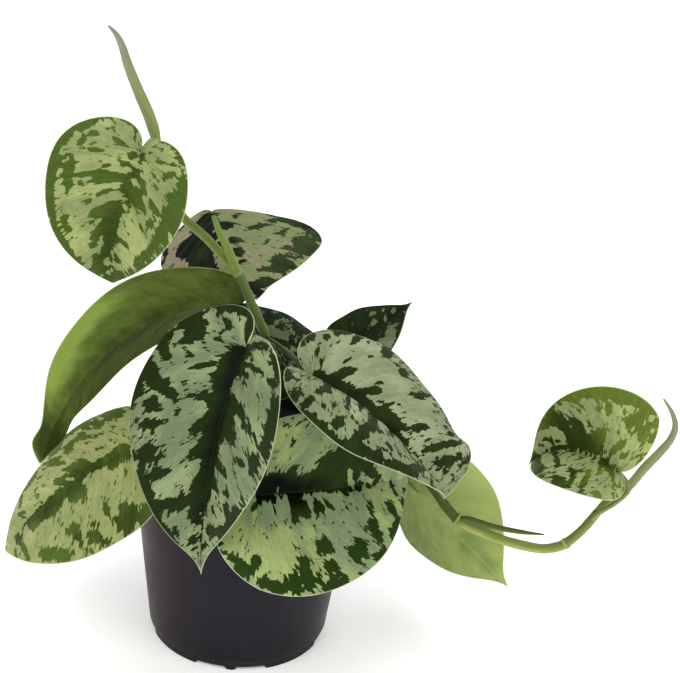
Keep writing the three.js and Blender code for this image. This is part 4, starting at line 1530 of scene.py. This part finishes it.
FRONT_CENTRE_MARKS: list[Patch] = [
    (0.2, -0.5, 0.07, 0.45, 0, -1), (0.36, -0.93, 0.16, 0.09, 0, -0.9),
    (0.47, -0.58, 0.045, 0.14, 0.1, -0.9), (0.68, -0.4, 0.05, 0.11, 1.8, -0.9),
    (0.87, -0.34, 0.05, 0.06, 0, -0.8), (0.76, -0.8, 0.13, 0.22, 0.3, -1.05),
    (0.89, -0.6, 0.11, 0.12, 0.3, -1.05), (1, -0.7, 0.05, 0.06, 0, -0.8), (1, -0.95, 0.07, 0.09, 0, -0.9),
    (1.12, -0.84, 0.05, 0.14, 0.8, -0.9), (1.14, -0.57, 0.028, 0.12, 0.8, -0.75),
    (1.35, -0.8, 0.07, 0.15, 0.8, -0.9), (1.5, -0.62, 0.05, 0.12, 0.7, -0.9),
    (1.55, -0.76, 0.06, 0.07, 0.5, -0.85), (1.3, -0.97, 0.16, 0.05, 0, -0.9),
    (1.33, -0.35, 0.024, 0.14, 0, -1), (1.35, -0.12, 0.32, 0.08, 0, -0.9),
    (1.63, -0.23, 0.05, 0.13, 0.3, -0.9), (1.83, -0.24, 0.04, 0.13, 0, -0.9),
    (1.98, -0.2, 0.05, 0.15, 0, -0.9), (2.2, -0.2, 0.08, 0.14, 0, -0.9), (1.9, -0.1, 0.42, 0.1, 0, -0.9),
    (1.68, -0.76, 0.04, 0.12, 0.3, -0.85), (1.83, -0.82, 0.05, 0.16, 0.3, -0.9),
    (1.98, -0.74, 0.04, 0.13, 0.2, -0.9), (2, -0.95, 0.13, 0.07, 0.3, -0.9),
    (2.19, -0.7, 0.04, 0.2, 0.2, -0.9), (2.25, -0.4, 0.028, 0.26, 0, -0.85),
    (2.3, -0.97, 0.16, 0.05, 0, -0.8), (2.36, -0.25, 0.075, 0.17, 0.1, -0.95),
    (2.4, -0.82, 0.05, 0.07, 0, -0.75), (2.54, -0.4, 0.035, 0.33, 0, -0.95),
    (2.63, -0.5, 0.022, 0.25, 0, -0.75), (2.7, -0.27, 0.06, 0.06, 0, -0.6),
    (0.9, 0.12, 0.18, 0.22, 0, -1.1), (1.2, 0.14, 0.26, 0.2, 0, -1.1),
    (1.33, 0.36, 0.045, 0.13, -0.3, -0.9), (1.17, 0.5, 0.04, 0.16, -0.35, -0.85),
    (1.62, 0.35, 0.045, 0.26, -0.2, -0.95), (1.6, 0.68, 0.028, 0.14, -0.2, -0.7),
    (1.77, 0.22, 0.11, 0.26, -0.15, -1.1), (1.8, 0.46, 0.05, 0.08, 0, -0.7),
    (2, 0.08, 0.16, 0.18, 0, -1.1), (2.02, 0.42, 0.03, 0.16, -0.1, -0.85),
    (2.15, 0.25, 0.05, 0.2, 0, -0.95), (1.94, 0.32, 0.025, 0.15, -0.1, 0.5),
    (2.25, 0.1, 0.06, 0.17, 0, -0.95), (2.35, 0.02, 0.03, 0.13, 0, -0.8),
    (2.3, 0.43, 0.028, 0.1, 0, -0.85), (2.44, 0.5, 0.045, 0.2, -0.1, -0.95),
    (2.38, 0.78, 0.06, 0.15, -0.5, -0.9), (2.15, 0.76, 0.05, 0.08, 0, -0.75),
    (2.08, 0.66, 0.03, 0.1, -0.3, -0.75), (1.83, 0.7, 0.025, 0.07, -0.2, -0.7),
    (1.4, 0.94, 0.28, 0.07, 0, -0.6), (1.72, 0.86, 0.1, 0.05, 0, -0.65),
    (2.2, 0.94, 0.2, 0.08, 0.2, -0.8), (2.6, 0.35, 0.03, 0.3, -0.1, -0.8),
    (0.7, 0.48, 0.1, 0.13, -0.3, -1), (0.64, 0.75, 0.08, 0.16, 0, -0.7),
    (0.88, 0.3, 0.06, 0.15, -0.4, -0.9), (0.77, 0.6, 0.04, 0.2, -0.4, -0.8),
    (0.85, 0.94, 0.12, 0.08, 0, -0.7), (1.2, 0.27, 0.03, 0.07, -0.3, 0.45),
    (1.08, 0.85, 0.04, 0.08, -0.4, -0.6),
]
FRONT_RIGHT_MARKS: list[Patch] = [
    (1.1, 0.42, 0.6, 0.3, 0, 0.25), (1.75, 0.5, 0.4, 0.22, 0, 0.3), (2.2, 0.72, 0.25, 0.25, 0, 0.15),
    (0.5, -0.93, 0.12, 0.1, 0.5, -0.9), (0.65, -0.76, 0.04, 0.1, 1, -0.85),
    (0.72, -0.85, 0.05, 0.06, 0.8, -0.75), (0.9, -0.9, 0.06, 0.06, 0, -0.85),
    (1.13, -0.82, 0.045, 0.13, 0.5, -0.95), (1.33, -0.4, 0.06, 0.2, 0.5, -0.9),
    (1.38, -0.1, 0.12, 0.14, 0, -1.05), (1.3, -0.97, 0.2, 0.05, 0.2, -1),
    (1.52, -0.78, 0.045, 0.08, 0.6, -0.95), (1.75, -0.93, 0.14, 0.07, 0.3, -1),
    (1.79, -0.7, 0.05, 0.16, 0.6, -1.05), (1.93, -0.3, 0.045, 0.2, 0.2, -0.95),
    (1.65, -0.35, 0.025, 0.25, 0.15, -0.75), (1.8, -0.25, 0.025, 0.17, 0.2, -0.75),
    (2.02, -0.72, 0.03, 0.05, 0, -0.85), (2.1, -0.93, 0.12, 0.07, 0.5, -1),
    (2.3, -0.77, 0.045, 0.15, 0.5, -1), (2.43, -0.4, 0.04, 0.35, 0.15, -0.95),
    (2.12, -0.25, 0.03, 0.2, 0.15, -0.75), (2.28, -0.3, 0.022, 0.25, 0.15, -0.7),
    (2.57, -0.5, 0.028, 0.4, 0.2, -0.75), (0.85, 0.06, 0.35, 0.055, 0, -1.1),
    (0.8, 0.24, 0.055, 0.11, -1.5, -1.25), (1.41, 0.19, 0.07, 0.15, 0.3, -1.4),
    (1.75, 0.07, 0.45, 0.06, 0, -1.05), (1.78, 0.24, 0.05, 0.11, 0.5, -1.15),
    (2.08, 0.15, 0.13, 0.09, 0.3, -1.1), (1.98, 0.3, 0.03, 0.1, 0.2, -1),
    (2.22, 0.4, 0.03, 0.16, 0.1, -1.1), (2.45, 0.5, 0.035, 0.3, 0.05, -1.1),
    (1.27, 0.37, 0.03, 0.06, 0, -1.15), (1.39, 0.58, 0.028, 0.045, 0, -1.1),
    (0.53, 0.52, 0.05, 0.08, 0, -1.15), (0.65, 0.78, 0.06, 0.1, -0.3, -0.9),
    (0.8, 0.95, 0.1, 0.08, 0, -0.9), (0.45, 0.9, 0.05, 0.1, 0, -0.8),
    (1.02, 0.8, 0.05, 0.13, -0.4, -1.05), (1.36, 0.86, 0.06, 0.12, -0.5, -1.05),
    (1.65, 0.76, 0.04, 0.08, -0.5, -1.05), (1.92, 0.72, 0.035, 0.12, 0, -1.25),
    (1.73, 0.38, 0.025, 0.05, 0, -1.05), (2.77, 0.8, 0.03, 0.3, 0, -0.9),
    (2.62, 0.35, 0.05, 0.2, 0.2, -0.95), (2.65, 0.57, 0.035, 0.06, 0, -0.95),
    (2.5, 0.72, 0.025, 0.13, 0, -1), (2.33, 0.82, 0.02, 0.08, 0, -0.9),
]
LOW_FRONT_MARKS: list[Patch] = [
    (1.57, -0.22, 0.035, 0.1, 0.4, -1.15), (1.66, -0.17, 0.04, 0.12, 0.1, -1.15),
    (1.8, -0.2, 0.02, 0.12, 0.3, -0.95), (1.92, -0.2, 0.02, 0.1, -0.2, -0.9),
    (2.14, 0.13, 0.022, 0.14, -0.3, 1.5), (2.24, 0.2, 0.02, 0.13, -0.3, 1.4),
    (2.33, 0.1, 0.02, 0.1, -0.3, 1.2), (2.08, 0.3, 0.02, 0.08, -0.2, 1.3),
    (0.85, -0.13, 0.12, 0.08, 2.2, -1.15), (1.22, 0.1, 0.25, 0.16, 0.3, -1.2),
    (1.52, 0.2, 0.08, 0.16, -0.2, -1), (1.72, 0.12, 0.13, 0.13, 0, -1),
    (1.6, -0.12, 0.04, 0.14, 0.1, -0.9), (1.72, -0.2, 0.03, 0.11, 0.2, -0.65),
    (1.85, -0.2, 0.025, 0.13, 0.2, -0.65), (1.95, 0.42, 0.19, 0.25, 0.1, -1.5),
    (2, 0.12, 0.15, 0.16, 0, -1.3), (2.25, 0.3, 0.14, 0.28, -0.1, -1), (2.1, -0.08, 0.03, 0.08, 0, -0.75),
    (2.22, -0.06, 0.03, 0.08, 0, -0.65), (2.35, -0.08, 0.03, 0.07, 0, -0.65),
    (2.42, 0.1, 0.03, 0.13, 0.1, -0.85), (2.28, 0.2, 0.02, 0.12, -0.2, 0.5),
    (2.35, 0.4, 0.02, 0.1, -0.2, 0.5), (0.72, -0.88, 0.14, 0.11, 0.2, -0.95),
    (0.9, -0.7, 0.08, 0.06, 0.3, -0.9), (1.05, -0.92, 0.12, 0.06, 0, -0.85),
    (1.3, -0.86, 0.14, 0.09, 0, -0.9), (1.42, -0.7, 0.05, 0.11, 0.2, -0.9),
    (1.67, -0.6, 0.08, 0.09, 0.2, -0.9), (1.6, -0.78, 0.06, 0.08, 0.3, -0.8),
    (1.55, -0.95, 0.1, 0.06, 0, -0.7), (1.88, -0.78, 0.1, 0.11, 0.3, -0.95),
    (2.12, -0.72, 0.05, 0.18, 0.3, -0.9), (2.22, -0.43, 0.03, 0.13, 0.15, -0.85),
    (2.3, -0.95, 0.1, 0.08, 0, -0.9), (2.4, -0.65, 0.045, 0.19, 0.1, -0.95),
    (2.57, -0.45, 0.03, 0.2, 0, -0.8), (2.6, -0.85, 0.06, 0.16, 0, -0.85),
    (1.34, 0.62, 0.025, 0.045, 0, -0.8), (1.1, 0.3, 0.05, 0.16, 0.1, -0.85),
    (2, -0.96, 0.08, 0.05, 0, -0.7), (2.72, -0.7, 0.04, 0.2, 0, -0.6),
]
BACK_RIGHT_MARKS: list[Patch] = [
    (2.04, 0.32, 0.08, 0.09, 0, 1.05), (2.02, 0.68, 0.07, 0.08, 0, 1.05), (2.45, 0.5, 0.06, 0.25, 0, 0.9),
    (2.1, -0.6, 0.15, 0.35, 0.4, 0.83), (1.7, -0.75, 0.35, 0.28, 0, 1),
    (1.75, -0.7, 0.08, 0.06, 0.5, -0.9),
]
BACK_MIDDLE_MARKS: list[Patch] = [
    (1.3, 0.6, 0.2, 0.2, 0, -0.59), (1.47, 0.55, 0.05, 0.09, 0, 0.9), (1.5, 0.17, 0.4, 0.15, 0, 0.9),
    (1.88, 0.2, 0.05, 0.16, 0, -0.79), (1.9, 0.75, 0.15, 0.25, 0, -0.66), (0.9, -0.8, 0.3, 0.3, 0, 0.45),
]
TIP_RIGHT_MARKS: list[Patch] = [
    (2.95, 0, 0.22, 1.2, 0, -1), (1.45, -0.98, 0.5, 0.09, 0, -1.3), (2.6, 0.85, 0.25, 0.22, 0, -1.2),
    (0.9, -0.75, 0.6, 0.3, 0, -0.25), (0.8, 0.45, 0.07, 0.2, -1.4, -1),
    (1.1, 0.2, 0.12, 0.12, -1.2, -1.15), (1.35, 0.07, 0.15, 0.07, -1.5, -1.1),
    (1.45, 0.08, 0.15, 0.1, -0.8, -1.15), (1.47, 0.25, 0.045, 0.14, -0.5, -1),
    (1.38, 0.65, 0.04, 0.25, -0.6, -0.95), (1.5, 0.75, 0.04, 0.15, -0.7, -0.85),
    (1.55, 0.88, 0.1, 0.1, -0.8, -0.95), (1.7, 0.57, 0.06, 0.07, -1, -0.9),
    (2, 0.55, 0.06, 0.18, -1, -1.05), (2.26, 0.28, 0.04, 0.1, -0.2, -0.85),
    (2.2, 0.88, 0.25, 0.15, -0.6, -1.25), (2.55, 0.55, 0.12, 0.3, -0.5, -1.25),
    (2.72, 0.1, 0.1, 0.4, -0.2, -1.1), (2.75, -0.55, 0.06, 0.5, 0, -0.9),
    (0.85, -0.62, 0.06, 0.08, 1.2, -0.85), (1.1, -0.7, 0.12, 0.1, 1, -0.85),
    (1.02, -0.84, 0.06, 0.05, 0, -0.65), (1.3, -0.93, 0.15, 0.08, 0, -0.65),
    (1.1, -0.2, 0.12, 0.045, 1.5, -0.9), (1.32, -0.3, 0.06, 0.1, 1, -0.9),
    (1.45, -0.2, 0.05, 0.1, 0.5, -0.8), (1.75, -0.28, 0.13, 0.17, 0.3, -1.1),
    (1.93, -0.55, 0.06, 0.11, -0.2, -1), (1.95, -0.3, 0.1, 0.21, 0, -1.05),
    (2.12, -0.75, 0.07, 0.22, 0, -1.1), (2.08, -0.3, 0.06, 0.2, 0, -1.05),
    (2.3, -0.9, 0.08, 0.15, -0.3, -1), (2.3, -0.1, 0.2, 0.055, 0, -0.9),
    (2.27, -0.3, 0.05, 0.055, 0, -0.75), (2.42, -0.55, 0.03, 0.09, -0.2, -0.75),
    (2.5, -0.42, 0.025, 0.08, 0, -0.65), (1.05, 0.85, 0.05, 0.1, -0.4, -0.85),
    (1.78, -0.75, 0.025, 0.06, 0, -0.6), (1.52, -0.7, 0.03, 0.08, 0.4, -0.6),
]


def leaves() -> list[Leaf]:
    """The eleven open leaves.

    Returns:
        The leaves, from the crown down.
    """
    return [
        Leaf(
            name="leaf_crown_left", slot=Slot.LIGHT, finish=LIGHT_LEAF, stem=YOUNG, seed=1,
            base=(-54, -17, 260.5), heading=-121, pitch=-54, roll=-8,
            length=66, left=36, right=37, lobe_left=9, lobe_right=13, taper=0.7, tip=1,
            fold=19, cup=-1, droop=48, sway=-11, hook=6, twist=-17, ear=-3, phase=0,
            swells=[(2.3, -1, 0.4, 1.4), (1, 1, 0.5, 1)],
            stalk=[(-45.5, 6, 239, 1.5), (-47, 0, 252, 1.5), (-50, -8, 262, 1.4)],
            silver=0.27, rib_dark=0.2, margin_dark=0.45,
            marks=CROWN_LEFT_MARKS,
        ),
        Leaf(
            name="leaf_back_upper", slot=Slot.SILVER, finish=GREY_LEAF, stem=DARK_STALK, seed=2,
            base=(-31.3, 106.8, 182), heading=-79.4, pitch=-1, roll=17.6,
            length=85, left=55, right=35.6, lobe_left=6.4, lobe_right=9.4, taper=1, tip=3.6,
            fold=-23.8, cup=-5, droop=20.4, sway=11, hook=2.9, twist=0, ear=16, phase=1,
            swells=[(2.8, 1, 0.25, 2.6)],
            stalk=[
                (-16, 34, 81, 1.5), (-16, 34, 91, 1.5), (-16.5, 35, 97, 1.5), (-22, 58, 124, 1.5),
                (-29, 92, 152, 1.5), (-33, 109, 169, 1.5), (-32.5, 111, 177, 1.4),
            ],
            silver=0.36, rib_dark=0.5, margin_dark=0.2,
            tones=[(1.2, -0.7, 1, 0.5, 0, 0.5), (1.5, 0.5, 1, 0.6, 0, -0.35)],
            marks=BACK_UPPER_MARKS,
        ),
        Leaf(
            name="leaf_arching_left", slot=Slot.UNDERSIDE, finish=ARCHING_LEAF, stem=DARK_STALK, seed=3,
            base=(-8, 19, 171.5), heading=196, pitch=5, roll=48,
            length=128, left=33.8, right=30, lobe_left=5, lobe_right=10, taper=0.32, tip=15.5,
            fold=13, cup=10, droop=75, sway=-20, hook=-11, twist=46, ear=0, phase=2,
            swells=[(2.96, 1, 0.09, 4.8), (2.35, 1, 0.3, 2), (2.77, -1, 0.19, 6.5)],
            stalk=[(1.5, 0.6, 173.5, 1.6), (-1, 10, 175, 1.6)],
            pale=0.32, quilt=0.18, keel=0.25,
            # Some of these tones paint light: the bright patches at the upper margin are painted light
            # shining through the blade, and the lift on the lower half offsets its shading.
            tones=[
                (2.15, 0.95, 0.35, 0.28, 0, 0.9), (2.43, 0.7, 0.2, 0.35, 0, 0.45),
                (1.4, 0.3, 0.7, 0.8, 0, 0.1), (1.95, -0.1, 0.4, 0.35, 0, -0.15),
                (1.6, -0.7, 1, 0.5, 0, 0.1), (2.82, -0.1, 0.15, 1.2, 0, -0.4),
            ],
        ),
        Leaf(
            name="leaf_low_left", slot=Slot.LIGHT, finish=SIDE_LEAF, stem=DARK_STALK, seed=4,
            base=(-45, -34, 123), heading=195, pitch=-28, roll=-23,
            length=103, left=39, right=35, lobe_left=12, lobe_right=9, taper=0.6, tip=1.5,
            fold=0, cup=25, droop=46, sway=-9, hook=0.5, twist=3, ear=0, phase=3,
            swells=[(2.2, 1, 0.7, 2.2)],
            stalk=[
                (-22, -14, 81, 1.5), (-22, -14, 91, 1.5), (-22, -14, 97, 1.5), (-26, -20, 118, 1.5),
                (-35, -29, 129, 1.5),
            ],
            silver=0.29, rib_dark=0.3, margin_dark=0.15,
            tones=[
                (1.1, -0.6, 0.7, 0.5, 0, 0.5), (1.4, 0.85, 0.6, 0.4, 0, -1), (2.2, 0, 0.5, 0.3, 0, -0.3),
            ],
            marks=LOW_LEFT_MARKS,
        ),
        Leaf(
            name="leaf_front_centre", slot=Slot.DARK, finish=BLUE_LEAF, stem=VINE, seed=5,
            base=(-0.2, -49.8, 183), heading=-113.1, pitch=-41.3, roll=31.9,
            length=113.5, left=55.9, right=50, lobe_left=2.3, lobe_right=26.6, taper=1.05, tip=9,
            fold=28.4, cup=21.3, droop=66.3, sway=-46.8, hook=0, twist=-23.6, ear=-15.5, phase=4,
            stalk=[(6.5, 3, 150, 1.7), (7, -12, 162, 1.7), (5, -30, 176, 1.7), (2, -43, 183, 1.6)],
            silver=0.29, rib_dark=0.6, margin_dark=0.2,
            # The first tone deepens the green along the midrib: partly the leaf's own dark green, partly
            # painted shade in its fold.
            tones=[(1.2, 0.03, 0.8, 0.16, 0, -0.7), (2.5, 0.85, 0.35, 0.3, 0, 0.5)],
            marks=FRONT_CENTRE_MARKS,
        ),
        Leaf(
            name="leaf_front_right", slot=Slot.DARK, finish=CREAM_LEAF, stem=DARK_STALK, seed=6,
            base=(29.8, -30.9, 160.3), heading=-24, pitch=-11, roll=1.7,
            length=85, left=44.9, right=46, lobe_left=17.9, lobe_right=11.7, taper=0.28, tip=1,
            fold=38, cup=60, droop=39, sway=-6.5, hook=2.8, twist=-11, ear=4, phase=5,
            swells=[(2.68, 1, 0.28, 25)],
            stalk=[(5.5, 2, 162.5, 1.2), (12, -10, 165, 1.1), (21, -22, 164, 1.1)],
            silver=0.19, rib_dark=0.3, margin_dark=0.2,
            tones=[(1.5, -0.95, 0.9, 0.3, 0, -0.6)],
            marks=FRONT_RIGHT_MARKS,
        ),
        Leaf(
            name="leaf_low_front", slot=Slot.DARK, finish=LOW_LEAF, stem=DARK_STALK, seed=7,
            base=(6.5, -62, 112.5), heading=14, pitch=0, roll=67,
            length=95, left=41, right=49, lobe_left=17, lobe_right=23, taper=0.7, tip=3,
            fold=14, cup=-15, droop=48, sway=1, hook=-2.5, twist=-6, ear=-12, phase=6,
            stalk=[
                (-6, -30, 81, 1.6), (-6, -30, 91, 1.6), (-6, -30.5, 97, 1.6), (-7, -40, 112, 1.6),
                (-3, -52, 117, 1.6),
            ],
            silver=0.33, rib_dark=0.3, margin_dark=0.2,
            # The first tone turns the green by the midrib near the base almost black, a painted shadow of
            # the front centre leaf's margin.
            tones=[
                (1.35, 0.03, 0.45, 0.3, 0, -1), (1.3, -0.6, 0.5, 0.3, 0, 0.6),
                (1.85, -0.5, 0.3, 0.35, 0, -0.4),
            ],
            marks=LOW_FRONT_MARKS,
        ),
        Leaf(
            name="leaf_low_right", slot=Slot.UNDERSIDE, finish=BACK_LEAF, stem=YOUNG, seed=8,
            base=(82, 20, 79), heading=-25, pitch=-34, roll=-75,
            length=73, left=37, right=35, lobe_left=6, lobe_right=10, taper=0.9, tip=5,
            fold=11, cup=-4, droop=9, sway=-1, hook=-4.5, twist=-29, ear=1, phase=1,
            swells=[(1.2, 1, 0.6, 1.6)],
            stalk=[(70, 4, 108.8, 1.3), (71, 14, 105, 1.4), (75, 22, 93, 1.4)],
            quilt=0.2, keel=0.3,
            tones=[
                (1.7, -0.85, 0.7, 0.45, 0, 0.5), (2.0, 0.5, 0.7, 0.5, 0, 0.05),
                (2.45, 0, 0.3, 0.4, 0, -0.2),
            ],
        ),
        Leaf(
            name="leaf_back_right", slot=Slot.DARK, finish=SHADE_LEAF, stem=DARK_STALK, seed=9,
            base=(44, 22, 148.5), heading=22, pitch=29, roll=6,
            length=43, left=24, right=24, lobe_left=8, lobe_right=9, taper=0.9, tip=3.5,
            fold=6, cup=10, droop=9, sway=24, hook=0.5, twist=-1, ear=0, wave=0.6, phase=2,
            stalk=[
                (30, 20, 81, 1.3), (30, 20, 91, 1.3), (30, 20, 97, 1.3), (31, 19, 122, 1.3),
                (37, 18.5, 141, 1.2),
            ],
            silver=-0.45,
            marks=BACK_RIGHT_MARKS,
        ),
        Leaf(
            name="leaf_back_middle", slot=Slot.DARK, finish=SHADE_LEAF, stem=DARK_STALK, seed=10,
            base=(0.5, 28, 151), heading=21, pitch=-23, roll=29,
            length=57, left=22, right=23, lobe_left=11, lobe_right=10, taper=0.8, tip=3.5,
            fold=3, cup=18, droop=23, sway=24, hook=2, twist=-3, ear=0, wave=0.6, phase=3,
            # This swell widens the right half into a dark sheet set in the gap below the leaves, as painted
            # shade.
            swells=[(1.25, -1, 0.5, 11)],
            stalk=[(7, 4, 137, 1.4), (3, 14, 148, 1.4), (-2, 24, 155, 1.3)],
            silver=-0.05,
            marks=BACK_MIDDLE_MARKS,
        ),
        Leaf(
            name="leaf_tip_right", slot=Slot.LIGHT, finish=TIP_LEAF, stem=YOUNG, seed=11,
            base=(182, -11, 111.5), heading=169, pitch=27, roll=-42,
            length=51, left=35, right=40, lobe_left=7, lobe_right=8, taper=1, tip=3,
            fold=39, cup=-5, droop=84, sway=9, hook=8, twist=-25, ear=-5, wave=0.5, phase=4,
            stalk=[
                (171, -12, 82, 1.2), (175.5, -16, 91, 1.2), (182, -17.5, 98, 1.2),
                (187, -16.5, 105.5, 1.2),
            ],
            silver=0.2, rib_dark=0.2, margin_dark=0.2,
            tones=[
                (0.6, -0.6, 0.7, 0.6, 0, 0.6), (2.3, 0.2, 0.7, 0.8, 0, -0.55),
                (2.15, -0.75, 0.35, 0.45, 0, -0.9), (1.95, -0.4, 0.25, 0.35, 0, -0.7),
                (1.5, 0.85, 0.6, 0.4, 0, -1), (1.95, 0.75, 0.6, 0.35, 0, -0.8),
            ],
            marks=TIP_RIGHT_MARKS,
        ),
    ]


def stems() -> list[Stem]:
    """The two vines and the four shoots on them.

    Returns:
        The stems, vines first.
    """
    vine_left = [
        (8, 8, 81, 2.2), (8, 8, 91, 2.2), (8, 8, 97, 2.2), (8, 6.5, 112, 2.2), (7, 4, 135, 2.2),
        (6, 2, 161, 2.2), (3, 1, 170, 2.2), (-1, 0, 179, 2.2), (-5, 0, 188, 2.2), (-8, 0, 194.5, 2.4),
        (-9, 0, 196, 2.6), (-10.5, 0, 197.5, 2.2), (-16, 1, 203, 2.1), (-25, 2, 212, 2.1),
        (-36, 3, 221, 2.1), (-42, 5, 230, 2.1), (-45.5, 6, 239, 2.3), (-48, 7, 248, 2.1),
        (-50, 7, 256, 2),
    ]
    vine_right = [
        (20, 4, 81, 2.1), (20, 4, 91, 2.1), (20.5, 4, 97, 2.1), (27, 4, 109, 2.2), (40, 4, 114, 2.3),
        (60, 4, 114, 2.5), (80, 4, 101.8, 2.6), (87, 1, 94.9, 2.6), (94, -3, 88.4, 2.5),
        (100, -7, 81.9, 2.4), (105, -9, 77.4, 2.5), (106.5, -9.5, 76.4, 2.8), (108, -10, 75.4, 2.5),
        (114, -10, 72.4, 2.4), (122, -10, 69.5, 2.5), (131, -11, 67, 2.5), (141, -11, 64.9, 2.5),
        (151, -12, 64.7, 2.4), (159, -12, 67.3, 2.5), (161, -12, 68.8, 2.7), (162.5, -12, 70.3, 2.4),
        (167, -12, 75.7, 2.3), (171, -12, 82, 2.3), (174, -12, 87.5, 2.2),
    ]
    new_top = [
        (-50.1, 7, 256.5, 2.3), (-51.5, 7, 262, 2.9), (-54, 7, 269, 2.8), (-59, 7, 280, 2.6),
        (-64, 7, 292, 2.2), (-67, 6, 301.5, 1.7), (-69.5, 5, 306.5, 1.2), (-72.5, 4, 310, 0.5),
    ]
    new_right = [
        (174.4, -11.6, 88.2, 1.8), (178, -9.5, 92, 2.1), (183, -8, 95, 2.2), (188, -8, 101, 2.2),
        (194.5, -8, 112.5, 2.3), (201, -8, 122.5, 2.1), (205, -8, 130, 1.8), (206, -8, 137, 1.5),
        (203.5, -8, 144, 1.1), (198.5, -8, 151, 0.5),
    ]
    sheath = [
        (-9, 0, 196, 1.6), (-11.5, -3, 203, 2), (-14, -4.5, 210, 1.7), (-18, -5.5, 218, 1.4),
        (-21, -6, 226, 1),
    ]
    bud = [
        (106.5, -9.5, 76, 1.3), (111, -12, 78.5, 1.4), (123, -13, 76, 1.4), (138, -13, 74, 1.1),
        (149.5, -13, 73.5, 0.35),
    ]
    return [
        # On the vines tone 0 is painted shade: up to the first node of each, and partly again towards the
        # right vine's end.
        Stem("left_vine", vine_left, Slot.VINE, VINE, [10, 16],
             tones=((9, 0), (10.5, 1)), replaces="vine_left"),
        Stem("right_vine", vine_right, Slot.VINE, TRAILING, [11, 19],
             tones=((11, 0), (12.5, 1), (16.5, 1), (18.5, 0.6)), replaces="vine_right"),
        Stem("top_rolled_leaf", new_top, Slot.SHOOT, ROLLED, step_in=0.2, spiral=0.8, sides=40,
             tones=((0, 0), (5, 1)), replaces="new_leaf_top"),
        Stem("right_rolled_leaf", new_right, Slot.SHOOT, ROLLED, step_in=0.2, spiral=0.8, sides=40,
             tones=((1, 0), (6, 1)), replaces="new_leaf_right"),
        Stem("left_sheath", sheath, Slot.SHOOT, STRAP, [0], groove=0.3, flat=0.15, replaces="sheath_left"),
        Stem("right_bud", bud, Slot.SHOOT, BUD, flat=0.15, scars=[4], replaces="bud_right"),
    ]


# ---- studio ----------------------------------------------------------------------------


@dataclass(frozen=True)
class Lamp:
    """A square soft light that looks at the plant. Places are in metres."""

    name: str
    at: Place
    size: float
    watts: float
    tint: tuple[float, float, float]

    def hang(self, aim: Place, shine: float) -> None:
        """Hangs the light.

        Args:
            aim: The point that it looks at.
            shine: Share of its light that reflections show.
        """
        data = bpy.data.lights.new(self.name, "AREA")
        data.shape = "SQUARE"
        data.size = self.size
        data.energy = self.watts
        data.color = self.tint
        data.specular_factor = shine
        lamp = bpy.data.objects.new(self.name, data)
        lamp.location = self.at
        lamp.rotation_mode = "QUATERNION"
        lamp.rotation_quaternion = (Vector(aim) - Vector(self.at)).to_track_quat("-Z", "Y")
        bpy.context.scene.collection.objects.link(lamp)


@dataclass
class Studio:
    """White sweep, soft lights and the camera, which looks at a target in millimetres."""

    target: Place = (41.4, 0, 167)
    elevation: float = 26
    roll: float = 4.5
    distance: float = 900
    lens: float = 99.5
    sensor: float = 36
    world: float = 0.75
    lamps: tuple[Lamp, ...] = (
        Lamp("key", (-0.55, -1.15, 1.5), 0.9, 13, (1, 0.985, 0.96)),
        Lamp("fill", (1.3, -0.7, 0.8), 1.1, 5, (0.95, 0.98, 1)),
        Lamp("top", (0.1, 0.6, 1.7), 1.2, 8, (1, 1, 1)),
    )
    lamp_aim: Place = (0.03, 0, 0.15)
    lamp_shine: float = 0.5
    floor_reach: float = 4
    floor_squares: int = 8

    def camera(self) -> None:
        """Stands the camera in front, above the plant, turned a little about its own view."""
        e, r = self.elevation * DEG, self.roll * DEG
        forward = Vector((0, math.cos(e), -math.sin(e)))
        level = Vector((1, 0, 0))
        above = level.cross(forward)
        right = level * math.cos(r) + above * math.sin(r)
        up = above * math.cos(r) - level * math.sin(r)
        data = bpy.data.cameras.new("camera")
        data.lens = self.lens
        data.sensor_width = self.sensor
        data.clip_start, data.clip_end = 0.05, 50
        camera = bpy.data.objects.new("camera", data)
        place = (Vector(self.target) - forward * self.distance) * MM
        camera.matrix_world = Matrix(
            (
                (right.x, up.x, -forward.x, place.x),
                (right.y, up.y, -forward.y, place.y),
                (right.z, up.z, -forward.z, place.z),
                (0, 0, 0, 1),
            )
        )
        bpy.context.scene.collection.objects.link(camera)
        bpy.context.scene.camera = camera

    def build(self) -> None:
        """Sets up sky, lights, floor and camera."""
        scene = bpy.context.scene
        scene.view_settings.view_transform = "Standard"
        world = bpy.data.worlds.new("studio")
        world.use_nodes = True
        sky = world.node_tree.nodes["Background"]
        sky.inputs["Color"].default_value = (1, 1, 1, 1)
        sky.inputs["Strength"].default_value = self.world
        scene.world = world
        for lamp in self.lamps:
            lamp.hang(self.lamp_aim, self.lamp_shine)
        self.floor()
        self.camera()

    def floor(self) -> None:
        """Lays a square floor of equal squares under the pot."""
        squares, across = self.floor_squares, self.floor_squares + 1
        steps = np.linspace(-self.floor_reach, self.floor_reach, across)
        x, y = np.meshgrid(steps, steps)
        points = np.stack([x, y, 0 * x], -1).reshape(-1, 3)
        i, j = np.meshgrid(np.arange(squares), np.arange(squares), indexing="ij")
        a = (i * across + j).ravel()
        mesh = bpy.data.meshes.new("floor")
        mesh.from_pydata(points.tolist(), [], np.stack([a, a + 1, a + 1 + across, a + across], -1).tolist())
        mesh.materials.append(FloorFinish().made("white_sweep"))
        floor = show("floor", mesh)


def main() -> None:
    """Builds the studio and every piece, and logs each piece's face count."""
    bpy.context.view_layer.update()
    Studio().build()
    made = [NurseryPot().build(), PottingMix().ground(), PottingMix().scatter()]
    for stem in stems():
        made.append(stem.build())
    for leaf in leaves():
        made.extend(leaf.build())
    for piece in made:
        LOG.info("%s: %d faces", piece.name, len(piece.data.polygons))


if __name__ == "__main__":
    logging.basicConfig(level=logging.INFO, format="%(name)s %(message)s")
    main()
